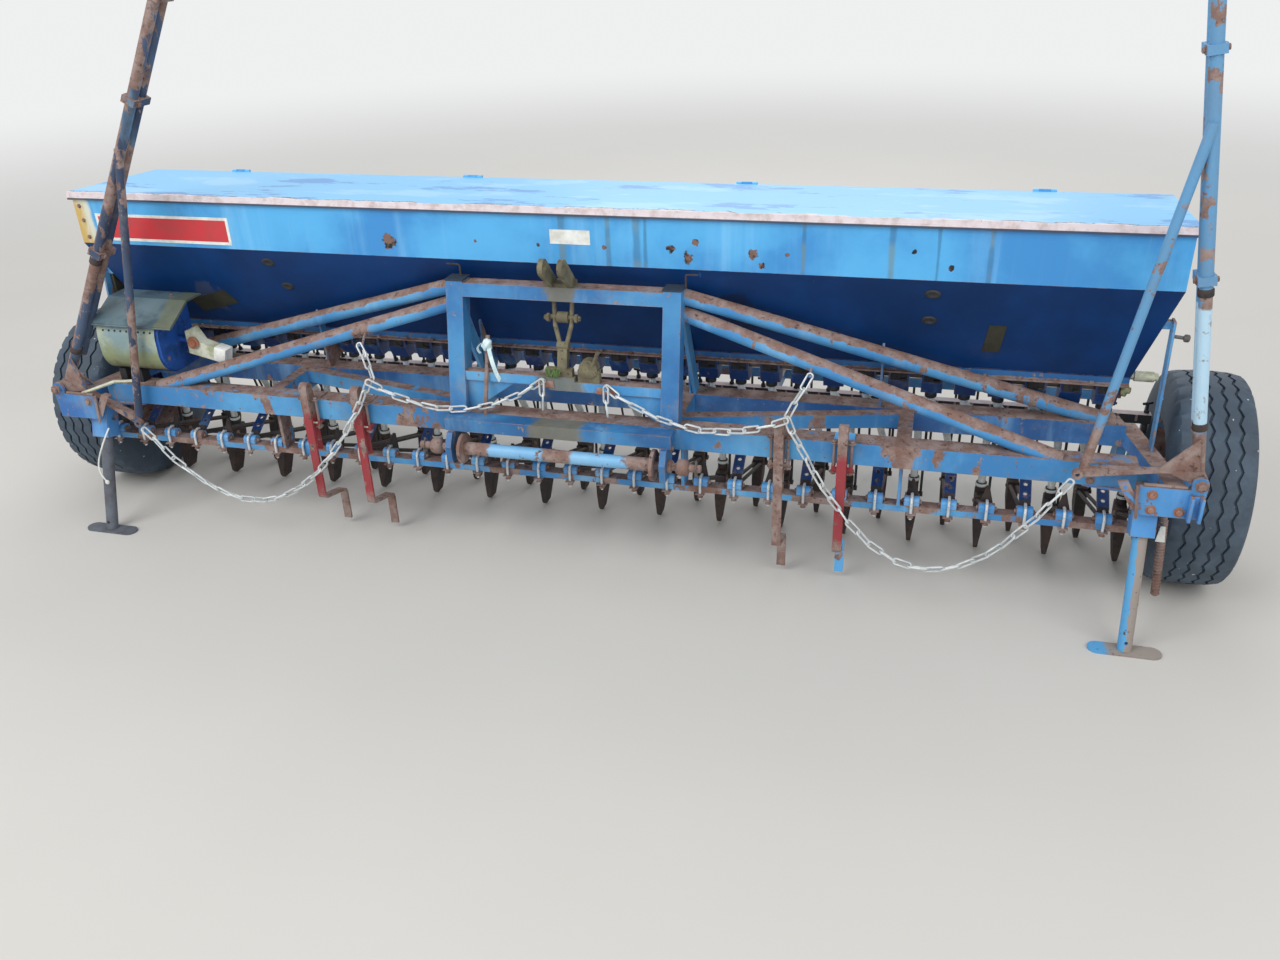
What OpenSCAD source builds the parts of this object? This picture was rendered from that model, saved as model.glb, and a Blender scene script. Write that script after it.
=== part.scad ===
// Mounted seed drill: a long seed hopper over a frame with a three-point headstock,
// a row of coulters, two transport wheels, two folding row markers and two front stands.
// +X is to the right seen from the tractor side, +Y is to the back, +Z is up, ground at Z = 0.

/* [Seed rows] */
// Number of coulters across the drill
row_count = 33; // [25:2:33]
// Distance from row to row
row_pitch = 125; // [115:1:125]
// Distance from the front coulter row to the rear one
row_stagger = 150; // [140:5:170]
// How far the coulter rail runs past the outermost rows
rail_over = 40; // [32:1:46]
// Depth of the coulter rail from front to back
rail_d = 46; // [40:1:50]
// Height of the coulter rail
rail_h = 24; // [20:1:30]
// Height of the coulter rail's top above the ground
rail_top = 354; // [340:1:365]
// Width of a clamp block
clamp_w = 52; // [44:1:60]
// Width of a coulter shoe
shoe_w = 40; // [34:1:46]
// Height of a coulter shoe
shoe_h = 205; // [190:1:220]
// Height of the shoe tips above the ground
shoe_clear = 12; // [8:1:20]
// Outer radius of a seed tube
seed_tube_r = 14; // [12:1:15]

/* [Hopper] */
// How far the hopper's end walls stand in from the outer sides of the last shoes
hopper_in = 20; // [12:1:26]
// Width of the hopper at its rim
hopper_w = 518; // [505:1:530]
// Height of the upright band under the rim
band_h = 170; // [150:1:190]
// Height of the rim above the ground
hopper_top = 1306; // [1290:1:1330]
// Height of the hopper's underside above the ground
hopper_floor = 768; // [760:1:780]
// Width of the hopper's floor
floor_w = 128; // [120:1:140]
// How far each end leans in below the band
end_taper = 75; // [60:1:90]
// Thickness of the sheet metal
sheet = 4; // [3:0.5:5]

/* [Frame] */
// Side of the square front and rear beams
beam = 80; // [76:1:84]
// Height of the beams' top above the ground
beam_top = 607; // [600:1:612]
// Distance between the two beams' front faces
beam_gap = 315; // [310:1:320]
// Width of the headstock over its posts
headstock_w = 866; // [840:2:880]
// Height of the headstock's top above the ground
headstock_top = 1075; // [1060:1:1090]
// Side of a headstock post
post = 64; // [58:1:68]
// Outer radius of the long brace tubes
brace_r = 28; // [24:1:30]

/* [Hitch] */
// Distance between the outer faces of the lower link brackets
link_span = 825; // [815:1:835]
// Radius of a lower link pin
link_pin_r = 14; // [13.5:0.1:14.4]
// Height of the lower link axis above the ground
link_z = 492; // [485:1:500]
// Radius of the top link bore
top_pin_r = 12.9; // [12.7:0.05:13.1]
// Inner distance between the top link ears
ear_gap = 52; // [50:1:56]

/* [Wheels] */
// Outer diameter of a tyre
tyre_d = 760; // [750:2:770]
// Width of a tyre
tyre_w = 264; // [255:1:270]
// Diameter of the rim seat
rim_d = 389; // [380:1:400]
// Gap between the outermost rows and the inner sides of the tyres
tyre_gap = 60; // [56:1:70]
// Radius of a stub axle
axle_r = 22; // [20:0.5:24]

/* [Markers] */
// Length of a marker from its pivot to its disc
marker_len = 2080; // [1950:5:2120]
// Inward lean of the left marker as it stands
lean_left = 29.5; // [26:0.5:30]
// Inward lean of the right marker as it stands
lean_right = 8.6; // [7:0.2:10]
// Outer radius of a marker tube
marker_r = 19; // [17:0.5:21]
// Diameter of a marker disc
disc_d = 360; // [330:5:380]
// Radius of a marker pivot pin
marker_pin_r = 12; // [11:0.5:13]

/* [Stands] */
// Outer radius of a stand leg
leg_r = 23; // [21:0.5:24]
// Forward lean of a stand leg
leg_lean = 15.5; // [15:0.1:16]
// Length of a stand's foot plate
foot_l = 230; // [200:5:250]

/* [Following harrow] */
// Distance from tine to tine
harrow_pitch = 84; // [78:1:92]
// Radius of a harrow tine
harrow_r = 5; // [4:0.5:6]

/* [Chains] */
// Pitch of the long-link chain
link_pitch = 55; // [53:1:57]
// Thickness of a chain link's wire
wire = 8; // [7:0.5:9]

/* [Hidden] */
$fn = 48;
run = 0.4;
seat = 0.3;

// Widths that follow from the rows
row_span = (row_count - 1) * row_pitch;
rail_len = row_span + 2 * rail_over;
hopper_len = row_span + shoe_w - 2 * hopper_in;
track = row_span + 2 * tyre_gap + tyre_w;

// Front beam and what is set out from it
beam_bottom = beam_top - beam;
front_y = -60;
rear_y = front_y + beam_gap;
rear_back = rear_y + beam;

// Side members splay outwards to the front
side_w = 60;
side_h = 50;
side_top = beam_bottom + side_h;
side_slope = 0.202;
side_back_y = rear_back + 16;
plate_y = -140;
plate_t = 8;
side_front_y = plate_y + plate_t;
side_x0 = row_span / 2 - 38;
side_angle = atan(side_slope);
side_half = side_w / 2 / cos(side_angle);
function side_mid(y) = side_x0 + (rear_y + 32 - y) * side_slope;
function side_in(y) = side_mid(y) - side_half;
function side_out(y) = side_mid(y) + side_half;

// Stand leg line, from the middle of its sole
foot_t = 8;
leg_x = side_x0 + 10;
leg_foot_y = -209;
leg_top_z = beam_bottom - 50;
sleeve_w = 74;
sleeve_h = 134;
corner_t = 8;
corner_z = beam_bottom - corner_t;
beam_half = leg_x - leg_r - 11;
function leg_y(z) = leg_foot_y + z * tan(leg_lean);

// Outer plates that carry the sleeves and marker pivots
plate_in = side_x0 - 28;
plate_out = plate_in + 190;
plate_low = 478;
plate_top = side_top + 2;

// Marker pivot
pivot_x = plate_out - 19;
pivot_z = 600;
marker_y = -60;
lug_t = 10;
lug_rear_y = -30;
hub_r = 24;
marker_dy = -18;
lever_l = 353;
lever_z = 48;
lever_eye_r = 16;
foot_w = 62;
strut_at = 1075;
slide_tube_y = 46;
slide_tube_from = 135;
disc_out = 150;

// Rows
first_row = -row_span / 2;
function row_x(i) = first_row + i * row_pitch;
front_shoe_y = 352;
rear_shoe_y = front_shoe_y + row_stagger;
function shoe_y(i) = i % 2 == 0 ? front_shoe_y : rear_shoe_y;
clamp_d = 40;
clamp_h = 30;
arm_dx = 15;
arm_plate_t = 6;
arm_plate_lean = 18;
hook_r = 5;
hook_y = -hook_r - 0.5;
stay_w = 40;
stay_t = 6;
stay_len = 220;
stay_rise = 33;
shoe_l = 112;
shoe_top = shoe_clear + shoe_h;
socket_dy = 78;
socket_r = seed_tube_r + 6;
socket_h = 40;
spring_out = 30;
function spring_dx(i) = row_x(i) > 0 ? spring_out : -spring_out;
lug_z = shoe_top - 22;

// Pressure bar over the coulters
press_y = 432;
press_d = 34;
press_z = 566;
press_h = 10;
press_over = 45;
rod_r = 5;
coil_r = 12;

// Hopper section
hopper_y = 92;
hopper_mid = hopper_y + hopper_w / 2;
bend_z = hopper_top - band_h;
hopper_back = hopper_y + hopper_w;
floor_y = hopper_mid - floor_w / 2;
lid_t = 22;
lid_over = 12;
rim_low = 22;
rim_t = 8;
skirt_t = 3;
hinge_in = 400;
hinge_mid = 550;
hinge_x = [hinge_in - hopper_len / 2, -hinge_mid, hinge_mid, hopper_len / 2 - hinge_in];
hinge_y = hopper_back + lid_over + 8;
hinge_z = hopper_top + 4;
hinge_pin_r = 3;
knuckle_r = 7;

// Metering under the floor
meter_rail_h = 30;
meter_h = 92;
meter_w = 74;
meter_d = 88;
meter_top = hopper_floor - meter_rail_h;
meter_low = meter_top - meter_h;
meter_y = hopper_mid - meter_d / 2;
meter_shaft_z = meter_top - 30;
meter_shaft_r = 9;
unit_margin = 24;
unit_pitch = (hopper_len - 2 * end_taper - meter_w - 2 * unit_margin) / (row_count - 1);
function unit_x(i) = (i - (row_count - 1) / 2) * unit_pitch;
function unit_gap_x(k) = (k + 0.5) * unit_pitch;
outlet_y = hopper_mid + 12;
outlet_r = seed_tube_r + 5;
outlet_h = 26;

// Seed tubes drop from the outlets to the sockets on the coulters
tube_head_z = meter_low - outlet_h;
tube_stub = 14;
tube_handle = 58;
tube_spread = 0.6;
tube_knee_front = 435;
tube_knee_rear = shoe_top + socket_h + 24;
function tube_knee(i) = i % 2 == 0 ? tube_knee_front : tube_knee_rear;
function tube_share(i, z) =
  max(0, min(1, (tube_head_z - tube_stub - z) / (tube_head_z - tube_stub - tube_knee(i))));
function tube_x(i, z) = unit_x(i) + (row_x(i) - unit_x(i)) * tube_share(i, z);
// Place midway between the seed tubes number k and k + 1 from the middle
function between_tubes(k, z) =
  let (i = (row_count - 1) / 2 + k)
  (tube_x(i, z) + tube_x(i + 1, z)) / 2;

// Wheels
axle_y = 365;
axle_z = tyre_d / 2;
tyre_in = track / 2 - tyre_w / 2;
hub_in = tyre_in + 40;
hub_len = 150;

// Following harrow
harrow_y = 800;
harrow_z = 470;
harrow_tube = 40;
harrow_half = row_span / 2 - 50;
harrow_tip = 40;
harrow_back = 130;
harrow_knee_z = 260;
harrow_top_y = harrow_y + harrow_tube + harrow_r + seat;
harrow_tilt = atan((harrow_y + harrow_back - harrow_top_y) / (harrow_knee_z - harrow_tip));
harrow_count = floor(2 * (harrow_half - 40) / harrow_pitch) + 1;

// The origin lies under the middle of the whole drill's length
front_reach = leg_foot_y - foot_w / 2;
rear_reach = harrow_y + harrow_back + harrow_r * cos(harrow_tilt);
origin_y = (front_reach + rear_reach) / 2;

blue = [0.13, 0.35, 0.68];
light_blue = [0.16, 0.45, 0.78];
navy = [0.06, 0.13, 0.3];
rusty = [0.4, 0.24, 0.17];
dark = [0.1, 0.1, 0.12];
cream = [0.72, 0.72, 0.6];
zinc = [0.75, 0.76, 0.76];
red = [0.62, 0.13, 0.14];

// Puts a shape that is set out from the coulter rail over the common origin
module placed() { translate([0, -origin_y, 0]) children(); }

module both_sides() {
  children();
  mirror([1, 0, 0]) children();
}

module block(x0, x1, y0, y1, z0, z1) {
  translate([x0, y0, z0]) cube([x1 - x0, y1 - y0, z1 - z0]);
}

// Round bar from one point to another
module rod(a, b, r, sides = 32) {
  d = b - a;
  translate(a) rotate([0, acos(d[2] / norm(d)), atan2(d[1], d[0])])
    cylinder(h = norm(d), r = r, $fn = sides);
}

// Upright bar of rectangular section between two points of the ground plan
module plan_bar(a, b, w, z0, z1) {
  d = b - a;
  translate([a[0], a[1], z0]) rotate([0, 0, atan2(d[1], d[0])])
    translate([0, -w / 2, 0]) cube([norm(d), w, z1 - z0]);
}

// Outline in the YZ plane, extruded along X from x0 to x1
module across(x0, x1) {
  translate([x0, 0, 0]) rotate([90, 0, 90]) linear_extrude(height = x1 - x0) children();
}

// Outline in the XZ plane, extruded along Y from y0 to y1
module along(y0, y1) {
  translate([0, y1, 0]) rotate([90, 0, 0]) linear_extrude(height = y1 - y0) children();
}

// Frame

module front_beam() {
  color(blue) placed() {
    block(-beam_half, beam_half, front_y, front_y + beam, beam_bottom, beam_top);
  }
}

module rear_beam() {
  color(blue) placed() translate([0, 0, beam_bottom]) linear_extrude(height = beam)
    polygon([
      [-side_in(rear_y), rear_y], [side_in(rear_y), rear_y],
      [side_in(rear_back), rear_back], [-side_in(rear_back), rear_back]
    ]);
}

tie_x = 1205;
tie_w = 50;
inner_tie_x = 400;
diagonal_w = 44;
diagonal_low = beam_top - 52;

module frame_ties() {
  tie_y0 = front_y + beam;
  color(blue) placed() both_sides() difference() {
    union() {
      block(tie_x - tie_w / 2, tie_x + tie_w / 2, tie_y0, rear_y, beam_bottom, beam_top);
      block(inner_tie_x - tie_w / 2, inner_tie_x + tie_w / 2, tie_y0, rear_y,
        beam_bottom, beam_top);
      plan_bar([inner_tie_x - 20, tie_y0 + 34], [tie_x + 10, rear_y - 16], diagonal_w,
        diagonal_low, beam_top);
    }
    block(0, side_x0, rear_y, rear_back, beam_bottom - 1, beam_top + 1);
    block(0, inner_tie_x - tie_w / 2, tie_y0, rear_y, beam_bottom - 1, beam_top + 1);
    block(tie_x + tie_w / 2, side_x0, tie_y0, rear_y, beam_bottom - 1, beam_top + 1);
  }
}

module side_members() {
  lug_low = side_top - side_h;
  color(blue) placed() both_sides() {
    difference() {
      union() {
        translate([0, 0, beam_bottom]) linear_extrude(height = side_h) polygon([
          [side_in(side_front_y), side_front_y], [side_out(side_front_y), side_front_y],
          [side_out(side_back_y), side_back_y], [side_in(side_back_y), side_back_y]
        ]);
        block(plate_in, plate_out, plate_y, side_front_y, plate_low, plate_top);
        block(plate_in, plate_out, plate_y, plate_y + 12, plate_top - 5, plate_top);
        along(plate_y, plate_y + lug_t) hull() {
          translate([pivot_x, pivot_z]) circle(r = hub_r);
          translate([pivot_x - hub_r, plate_low + 20]) square([2 * hub_r - 5, 10]);
        }
        along(lug_rear_y, lug_rear_y + lug_t) hull() {
          translate([pivot_x, pivot_z]) circle(r = hub_r);
          translate([side_mid(lug_rear_y), lug_low]) square([70, side_h]);
        }
        plan_bar([plate_in + 8, plate_y + 4], [plate_in + 8, front_y - seat], 12,
          corner_z, beam_bottom);
        translate([0, 0, corner_z]) linear_extrude(height = corner_t) polygon([
          [beam_half - 160, front_y + 6], [plate_in, front_y - 20], [plate_in, side_front_y],
          [side_mid(side_front_y), side_front_y], [side_mid(-10), -10],
          [beam_half - 160, front_y + beam - 6]
        ]);
      }
      translate([leg_x, leg_y(0), 0]) rotate([-leg_lean, 0, 0])
        cylinder(h = 900, r = leg_r + 5);
    }
    rod([pivot_x, plate_y - 10, pivot_z], [pivot_x, lug_rear_y + lug_t + 8, pivot_z],
      marker_pin_r);
  }
}

// Headstock

post_foot_y = front_y + 8;
post_lean = atan((32 - post_foot_y) / (headstock_top - beam_top));
post_out = headstock_w / 2;
post_in = post_out - post;
top_beam_h = 48;
function post_y(z) = post_foot_y + (z - beam_top) * tan(post_lean);

module post_outline() {
  polygon([
    [post_y(beam_top), beam_top], [post_y(headstock_top), headstock_top],
    [post_y(headstock_top) + post, headstock_top], [post_y(beam_top) + post, beam_top]
  ]);
}

module headstock() {
  cap = 5;
  beam_z = headstock_top - 6;
  color(blue) placed() {
    both_sides() {
      across(post_in, post_out) post_outline();
      across(post_in - 3, post_out + 3) polygon([
        [post_y(headstock_top) - 3, headstock_top], [post_y(headstock_top) - 3, headstock_top + cap],
        [post_y(headstock_top) + post + 3, headstock_top + cap],
        [post_y(headstock_top) + post + 3, headstock_top]
      ]);
    }
    across(-post_in, post_in) polygon([
      [post_y(beam_z - top_beam_h), beam_z - top_beam_h], [post_y(beam_z), beam_z],
      [post_y(beam_z) + post, beam_z], [post_y(beam_z - top_beam_h) + post, beam_z - top_beam_h]
    ]);
  }
}

bar_z = 712;
bar_h = 36;
bar_d = 36;
bar_set_back = 8;
bar_shift = 8;
bar_lap = 50;
gusset_t = 10;

module headstock_gussets() {
  stay_t = 14;
  bar_front = post_y(bar_z) + bar_set_back;
  color(blue) placed() {
    // Cross bar between the posts, in two halves that overlap behind the casting
    block(-post_in, bar_lap, bar_front, bar_front + bar_d, bar_z + bar_shift, bar_z + bar_h + bar_shift);
    block(-bar_lap, post_in, bar_front, bar_front + bar_d, bar_z - bar_shift, bar_z + bar_h - bar_shift);
    // Pegs that the marker chains end on
    for (run_row = chain_runs)
      rod([run_row[3][0], run_row[3][1] - eye_dy - peg_over, run_row[3][2]],
        [run_row[3][0], bar_front + 1, run_row[3][2]], eye_peg_r, 24);
    // Gussets below the cross bar
    for (side = [-1, 1]) {
      low = bar_z - side * bar_shift;
      along(bar_front + 12, bar_front + 12 + gusset_t) polygon([
        [side * post_in, beam_top], [side * post_in, low], [side * (post_in - 190), low],
        [side * (post_in - 26), beam_top]
      ]);
    }
    both_sides() {
      // Stay from the post's head back to the rear beam
      across(post_out - 2 - stay_t, post_out - 2) polygon([
        [post_y(1032) + post, 1032], [post_y(1032) + post + 16, 1032],
        [rear_y + 66, beam_top], [rear_y + 6, beam_top], [post_y(955) + post, 955]
      ]);
    }
  }
}

upper_from = [post_out - 20, 92, 1044];
upper_end = [side_x0 - 66, rear_y + 57, beam_top - 12];
lower_from = [post_out - 20, 99, 981];
lower_end = [side_x0 - 257, front_y + 29, beam_top - 12];

module brace_tubes() {
  color(blue) placed() {
    both_sides() difference() {
      union() {
        rod(upper_from, upper_end, brace_r);
        rod(lower_from, lower_end, brace_r);
      }
      block(0, post_out, front_y - 90, rear_back, beam_top - 100, headstock_top + 100);
      block(0, side_x0, front_y - 90, rear_back + 90, 0, beam_top);
    }
    // Hooks that the short chains hang on
    for (run_row = chain_runs) {
      top = hanger_top(run_row);
      pin = hanger_pin(run_row);
      rod(top - 9 * pin, top + 15 * pin, eye_peg_r, 16);
      rod(top + 11 * pin, hanger_tube(run_row), eye_peg_r - 0.7, 16);
    }
  }
}

// Hitch

ear_t = 18;
ear_hole_y = -36;
ear_hole_z = headstock_top + 84;

module top_link_clevis() {
  base_z = headstock_top - 6;
  y0 = post_y(base_z);
  color(rusty) placed() difference() {
    union() {
      for (side = [-1, 1])
        across(side * (ear_gap + ear_t) / 2 - ear_t / 2, side * (ear_gap + ear_t) / 2 + ear_t / 2)
          hull() {
            translate([ear_hole_y, ear_hole_z]) circle(r = 30);
            translate([y0 + 2, base_z]) square([post - 4, 2]);
          }
      block(-ear_gap / 2 - ear_t, ear_gap / 2 + ear_t, y0 + 2, y0 + post - 2, base_z, base_z + 14);
    }
    rod([-100, ear_hole_y, ear_hole_z], [100, ear_hole_y, ear_hole_z], top_pin_r, 48);
  }
}

module top_link_shackle() {
  top = headstock_top - 6 - top_beam_h - 1;
  fork_r = 8;
  roller_z = top - 158;
  left_foot = bar_z + bar_h + bar_shift;
  right_foot = bar_z + bar_h - bar_shift;
  back = bar_d - 4;
  function mid_y(z) = post_y(z) + post / 2;
  color(rusty) placed() {
    // Hanging fork with a roller in it
    for (side = [-1, 1]) {
      rod([side * 34, mid_y(top), top], [side * 30, mid_y(top - 94), top - 94], fork_r);
      rod([side * 31, mid_y(top - 86), top - 86], [side * 12, mid_y(roller_z), roller_z], fork_r);
    }
    translate([0, mid_y(roller_z), roller_z - 4]) rotate([0, 90, 0]) cylinder(h = 44, r = 15, center = true);
    translate([0, mid_y(top - 62), top - 62]) rotate([0, 90, 0]) cylinder(h = 96, r = 9, center = true);
    translate([0, mid_y(top - 62), top - 62]) rotate([0, 90, 0]) cylinder(h = 40, r = 20, center = true);
    // Upright casting on the cross bar, leaning with the posts
    across(-18, 18) polygon([
      [post_y(left_foot) + 11, left_foot], [mid_y(roller_z) - 16, roller_z - 10],
      [mid_y(roller_z) + 14, roller_z - 10], [post_y(left_foot) + 12 + back, left_foot + 30],
      [post_y(left_foot) + back + 2, left_foot]
    ]);
    block(-60, 40, post_y(left_foot) + 8, post_y(left_foot) + 4 + back, left_foot, left_foot + 26);
    // Small latch casting beside it
    block(bar_lap + 12, bar_lap + 92, post_y(left_foot) + 6, post_y(left_foot) + back, right_foot,
      right_foot + 46);
    along(post_y(left_foot) + 2, post_y(left_foot) + back + 6)
      translate([bar_lap + 52, right_foot + 52]) circle(r = 34);
    rod([bar_lap + 66, post_y(left_foot) + 10, right_foot + 58],
      [bar_lap + 96, post_y(left_foot) - 12, right_foot + 122], 7);
  }
}

hitch_half = 424;
hitch_low = beam_top - 48;
hitch_y = front_y - 70;
link_y = -128;
bracket_t = 22;

module hitch_beam() {
  color(blue) placed() {
    difference() {
      block(-hitch_half, hitch_half, hitch_y, front_y, hitch_low, beam_top);
      block(-hitch_half + 8, hitch_half - 8, hitch_y + 8, front_y - 8, hitch_low - 1, beam_top - 8);
    }
    both_sides() difference() {
      across(link_span / 2 - bracket_t, link_span / 2) polygon([
        [hitch_y - 18, hitch_low], [hitch_y - 46, link_z + 20], [hitch_y - 40, link_z - 44],
        [link_y + 44, link_z - 50], [front_y, beam_bottom - 10], [front_y, hitch_low]
      ]);
      rod([0, link_y, link_z], [600, link_y, link_z], link_pin_r + 0.4, 48);
    }
  }
}

module lower_link_bar() {
  tube_half = link_span / 2 - bracket_t - 26;
  color(rusty) placed() {
    rod([-tube_half, link_y, link_z], [tube_half, link_y, link_z], 24);
    both_sides() {
      rod([tube_half, link_y, link_z], [link_span / 2 - bracket_t - 1, link_y, link_z], link_pin_r);
      rod([tube_half - 10, link_y, link_z], [tube_half + 2, link_y, link_z], 56);
      rod([link_span / 2 - bracket_t - 1, link_y, link_z], [link_span / 2 + 118, link_y, link_z],
        link_pin_r, 48);
      rod([link_span / 2 + 1, link_y, link_z], [link_span / 2 + 14, link_y, link_z], 24);
    }
  }
}

// Coulters

inner_hanger_x = 437;

module coulter_rail() {
  color(blue) placed() {
    difference() {
      block(-rail_len / 2, rail_len / 2, 0, rail_d, rail_top - rail_h, rail_top);
      block(-rail_len / 2 - 1, rail_len / 2 + 1, 6, rail_d + 1, rail_top - rail_h - 1, rail_top - 6);
    }
  }
}

module rail_hangers() {
  color(blue) placed() both_sides() for (x = [tie_x, inner_hanger_x]) {
    block(x - 6, x + 6, -8, rail_d + 14, rail_top, beam_bottom);
    block(x - 14, x + 14, -8, 14, beam_bottom - 8, beam_bottom);
  }
}

module clamp(i) {
  x = row_x(i);
  // Pivot block with a rounded top
  across(x - clamp_w / 2, x + clamp_w / 2) difference() {
    union() {
      translate([2, rail_top]) square([clamp_d, clamp_h - 14]);
      translate([2 + clamp_d / 2, rail_top + clamp_h - 20]) circle(r = clamp_d / 2, $fn = 24);
    }
    translate([0, rail_top - 30]) square([clamp_d + 4, 30]);
  }
}

module coulter_clamps() {
  color(light_blue) placed() for (i = [0 : row_count - 1]) clamp(i);
}

// Round hooks that pull the clamp blocks down on the rail
module clamp_hooks() {
  top = rail_top + clamp_h + hook_r;
  bends = [
    [hook_y, rail_top - rail_h - 24], [hook_y, rail_top + 14], [3, top - 4], [22, top + 1.4],
    [34, top - 2]
  ];
  color(zinc) placed() for (i = [0 : row_count - 1], k = [0 : 3])
    rod([row_x(i), bends[k][0], bends[k][1]], [row_x(i), bends[k + 1][0], bends[k + 1][1]],
      hook_r, 12);
}

// Side outline of a shoe, from the tip, set out from its own front edge
module shoe_side() {
  polygon([
    [0, shoe_clear], [-10, shoe_clear + 14], [-4, shoe_clear + 70], [14, shoe_clear + 130],
    [24, shoe_top], [shoe_l, shoe_top], [shoe_l, shoe_top - 46], [74, shoe_clear + 60],
    [52, shoe_clear]
  ]);
}

module shoe(i) {
  x = row_x(i);
  y = shoe_y(i);
  intersection() {
    across(x - shoe_w / 2, x + shoe_w / 2) translate([y, 0]) shoe_side();
    along(y - 20, y + shoe_l + 1) polygon([
      [x - 7, shoe_clear], [x + 7, shoe_clear], [x + shoe_w / 2, shoe_clear + 110],
      [x + shoe_w / 2, shoe_top], [x - shoe_w / 2, shoe_top], [x - shoe_w / 2, shoe_clear + 110]
    ]);
  }
  difference() {
    translate([x, y + socket_dy, shoe_top - 30]) cylinder(h = socket_h + 30, r = socket_r, $fn = 24);
    translate([x, y + socket_dy, shoe_top + 4])
      cylinder(h = socket_h, r = seed_tube_r + run, $fn = 24);
  }
  // Lug that the pressure rod stands on
  block(x + min(spring_dx(i) - 8, 0), x + max(spring_dx(i) + 8, 0), y + 48, y + 72, lug_z - 10, lug_z);
}

// Two drag bars run from the sides of the clamp block to the shoe
module drag_arms(i) {
  x = row_x(i);
  y = shoe_y(i);
  for (side = [-1, 1])
    rod([x + side * arm_dx, clamp_d + 5.5, rail_top + 10],
      [x + side * 12, y + 34, shoe_top - 20], 7, 16);
}

// Height of the plate that joins the drag bars behind the clamp block
function arm_plate_h(i) = i % 2 == 0 ? 74 : 36;

module arm_plate(i) {
  top_half = i % 2 == 0 ? 5 : 15;
  translate([row_x(i), clamp_d + 2 + seat, rail_top + 4]) rotate([-arm_plate_lean, 0, 0])
    along(0, arm_plate_t) polygon([
      [-22, 0], [-22, 10], [-top_half, arm_plate_h(i)], [top_half, arm_plate_h(i)], [22, 10], [22, 0]
    ]);
}

module front_coulters() {
  color(dark) placed() for (i = [0 : 2 : row_count - 1]) {
    shoe(i);
    drag_arms(i);
    arm_plate(i);
  }
}

module rear_coulters() {
  color(dark) placed() for (i = [1 : 2 : row_count - 1]) {
    shoe(i);
    drag_arms(i);
    arm_plate(i);
  }
}

// Perforated flat bars that rise from the arm plates of the rear row
module coulter_stays() {
  up = arm_plate_h(1) - 12;
  foot_y = clamp_d + 2 + 2 * seat + up * sin(arm_plate_lean) + arm_plate_t * cos(arm_plate_lean);
  foot_z = rail_top + 4 + up * cos(arm_plate_lean) - arm_plate_t * sin(arm_plate_lean);
  cut = stay_t / tan(90 - arm_plate_lean - stay_rise);
  color(navy) placed() for (i = [1 : 2 : row_count - 1])
    translate([row_x(i), foot_y, foot_z]) rotate([stay_rise, 0, 0]) difference() {
      across(-stay_w / 2, stay_w / 2)
        polygon([[0, 0], [stay_len, 0], [stay_len, stay_t], [cut, stay_t]]);
      for (y = [34 : 38 : stay_len - 20])
        translate([0, y, -1]) cylinder(h = stay_t + 2, r = 7, $fn = 16);
    }
}

// Places a pressure rod, which stands on its coulter's lug and leans to the bar
module spring_place(i) {
  foot_y = shoe_y(i) + 60;
  top_y = press_y + press_d / 2 + 3;
  lean = atan((top_y - foot_y) / (press_z - lug_z));
  translate([row_x(i) + spring_dx(i), foot_y, lug_z + rod_r * abs(sin(lean)) + seat])
    rotate([-lean, 0, 0]) children();
}
function spring_lean(i) = atan((press_y + press_d / 2 + 3 - shoe_y(i) - 60) / (press_z - lug_z));
function spring_run(i, z) = (z - lug_z - rod_r * abs(sin(spring_lean(i))) - seat) / cos(spring_lean(i));

press_arm_gaps = [3, 10];
press_arm_z = press_z - 6;

module pressure_bar() {
  half = (row_count - 1) / 2 * row_pitch + press_over;
  color(dark) placed() difference() {
    union() {
      block(-half, half, press_y, press_y + press_d, press_z, press_z + press_h);
      block(-half, half, press_y, press_y + 6, press_z - 24, press_z);
    }
    for (i = [0 : row_count - 1])
      spring_place(i) cylinder(h = press_z, r = rod_r + run, $fn = 16);
  }
}

// Arms that hang the pressure bar from the rear beam
module pressure_arms() {
  color(dark) placed() both_sides() for (k = press_arm_gaps) {
    x = between_tubes(k, press_arm_z);
    block(x - 6, x + 6, rear_back, press_y, press_z - 20, press_z + 6);
    block(x - 20, x + 20, rear_back, rear_back + 8, press_z - 30, press_z + 16);
  }
}

module pressure_springs() {
  coils = 9;
  coil_h = 11;
  nut_r = 9;
  color(dark) placed() for (i = [0 : row_count - 1]) {
    coil_top = spring_run(i, press_z) - coil_r * abs(tan(spring_lean(i))) - seat;
    coil_low = coil_top - coils * coil_h;
    nut_low = spring_run(i, press_z + press_h) + nut_r * abs(tan(spring_lean(i))) + seat;
    spring_place(i) rotate_extrude($fn = 16) polygon([
      [0, 0], [rod_r, 0], [rod_r, coil_low - 6], [coil_r, coil_low - 6], [coil_r, coil_low],
      for (k = [0 : coils - 1]) each [
        [coil_r - 3, coil_low + k * coil_h], [coil_r, coil_low + (k + 0.5) * coil_h]
      ],
      [coil_r - 3, coil_top], [rod_r, coil_top], [rod_r, nut_low], [nut_r, nut_low],
      [nut_r, nut_low + 8], [rod_r, nut_low + 8], [rod_r, nut_low + 34], [0, nut_low + 34]
    ]);
  }
}

// Ring of points round a tube's middle line, square to its direction d
function ring(p, d, r, sides) =
  let (u = cross([1, 0, 0], d) / norm(cross([1, 0, 0], d)))
  let (v = cross(d, u) / norm(d))
  [for (k = [0 : sides - 1]) p + r * (u * cos(360 * k / sides) + v * sin(360 * k / sides))];

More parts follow.
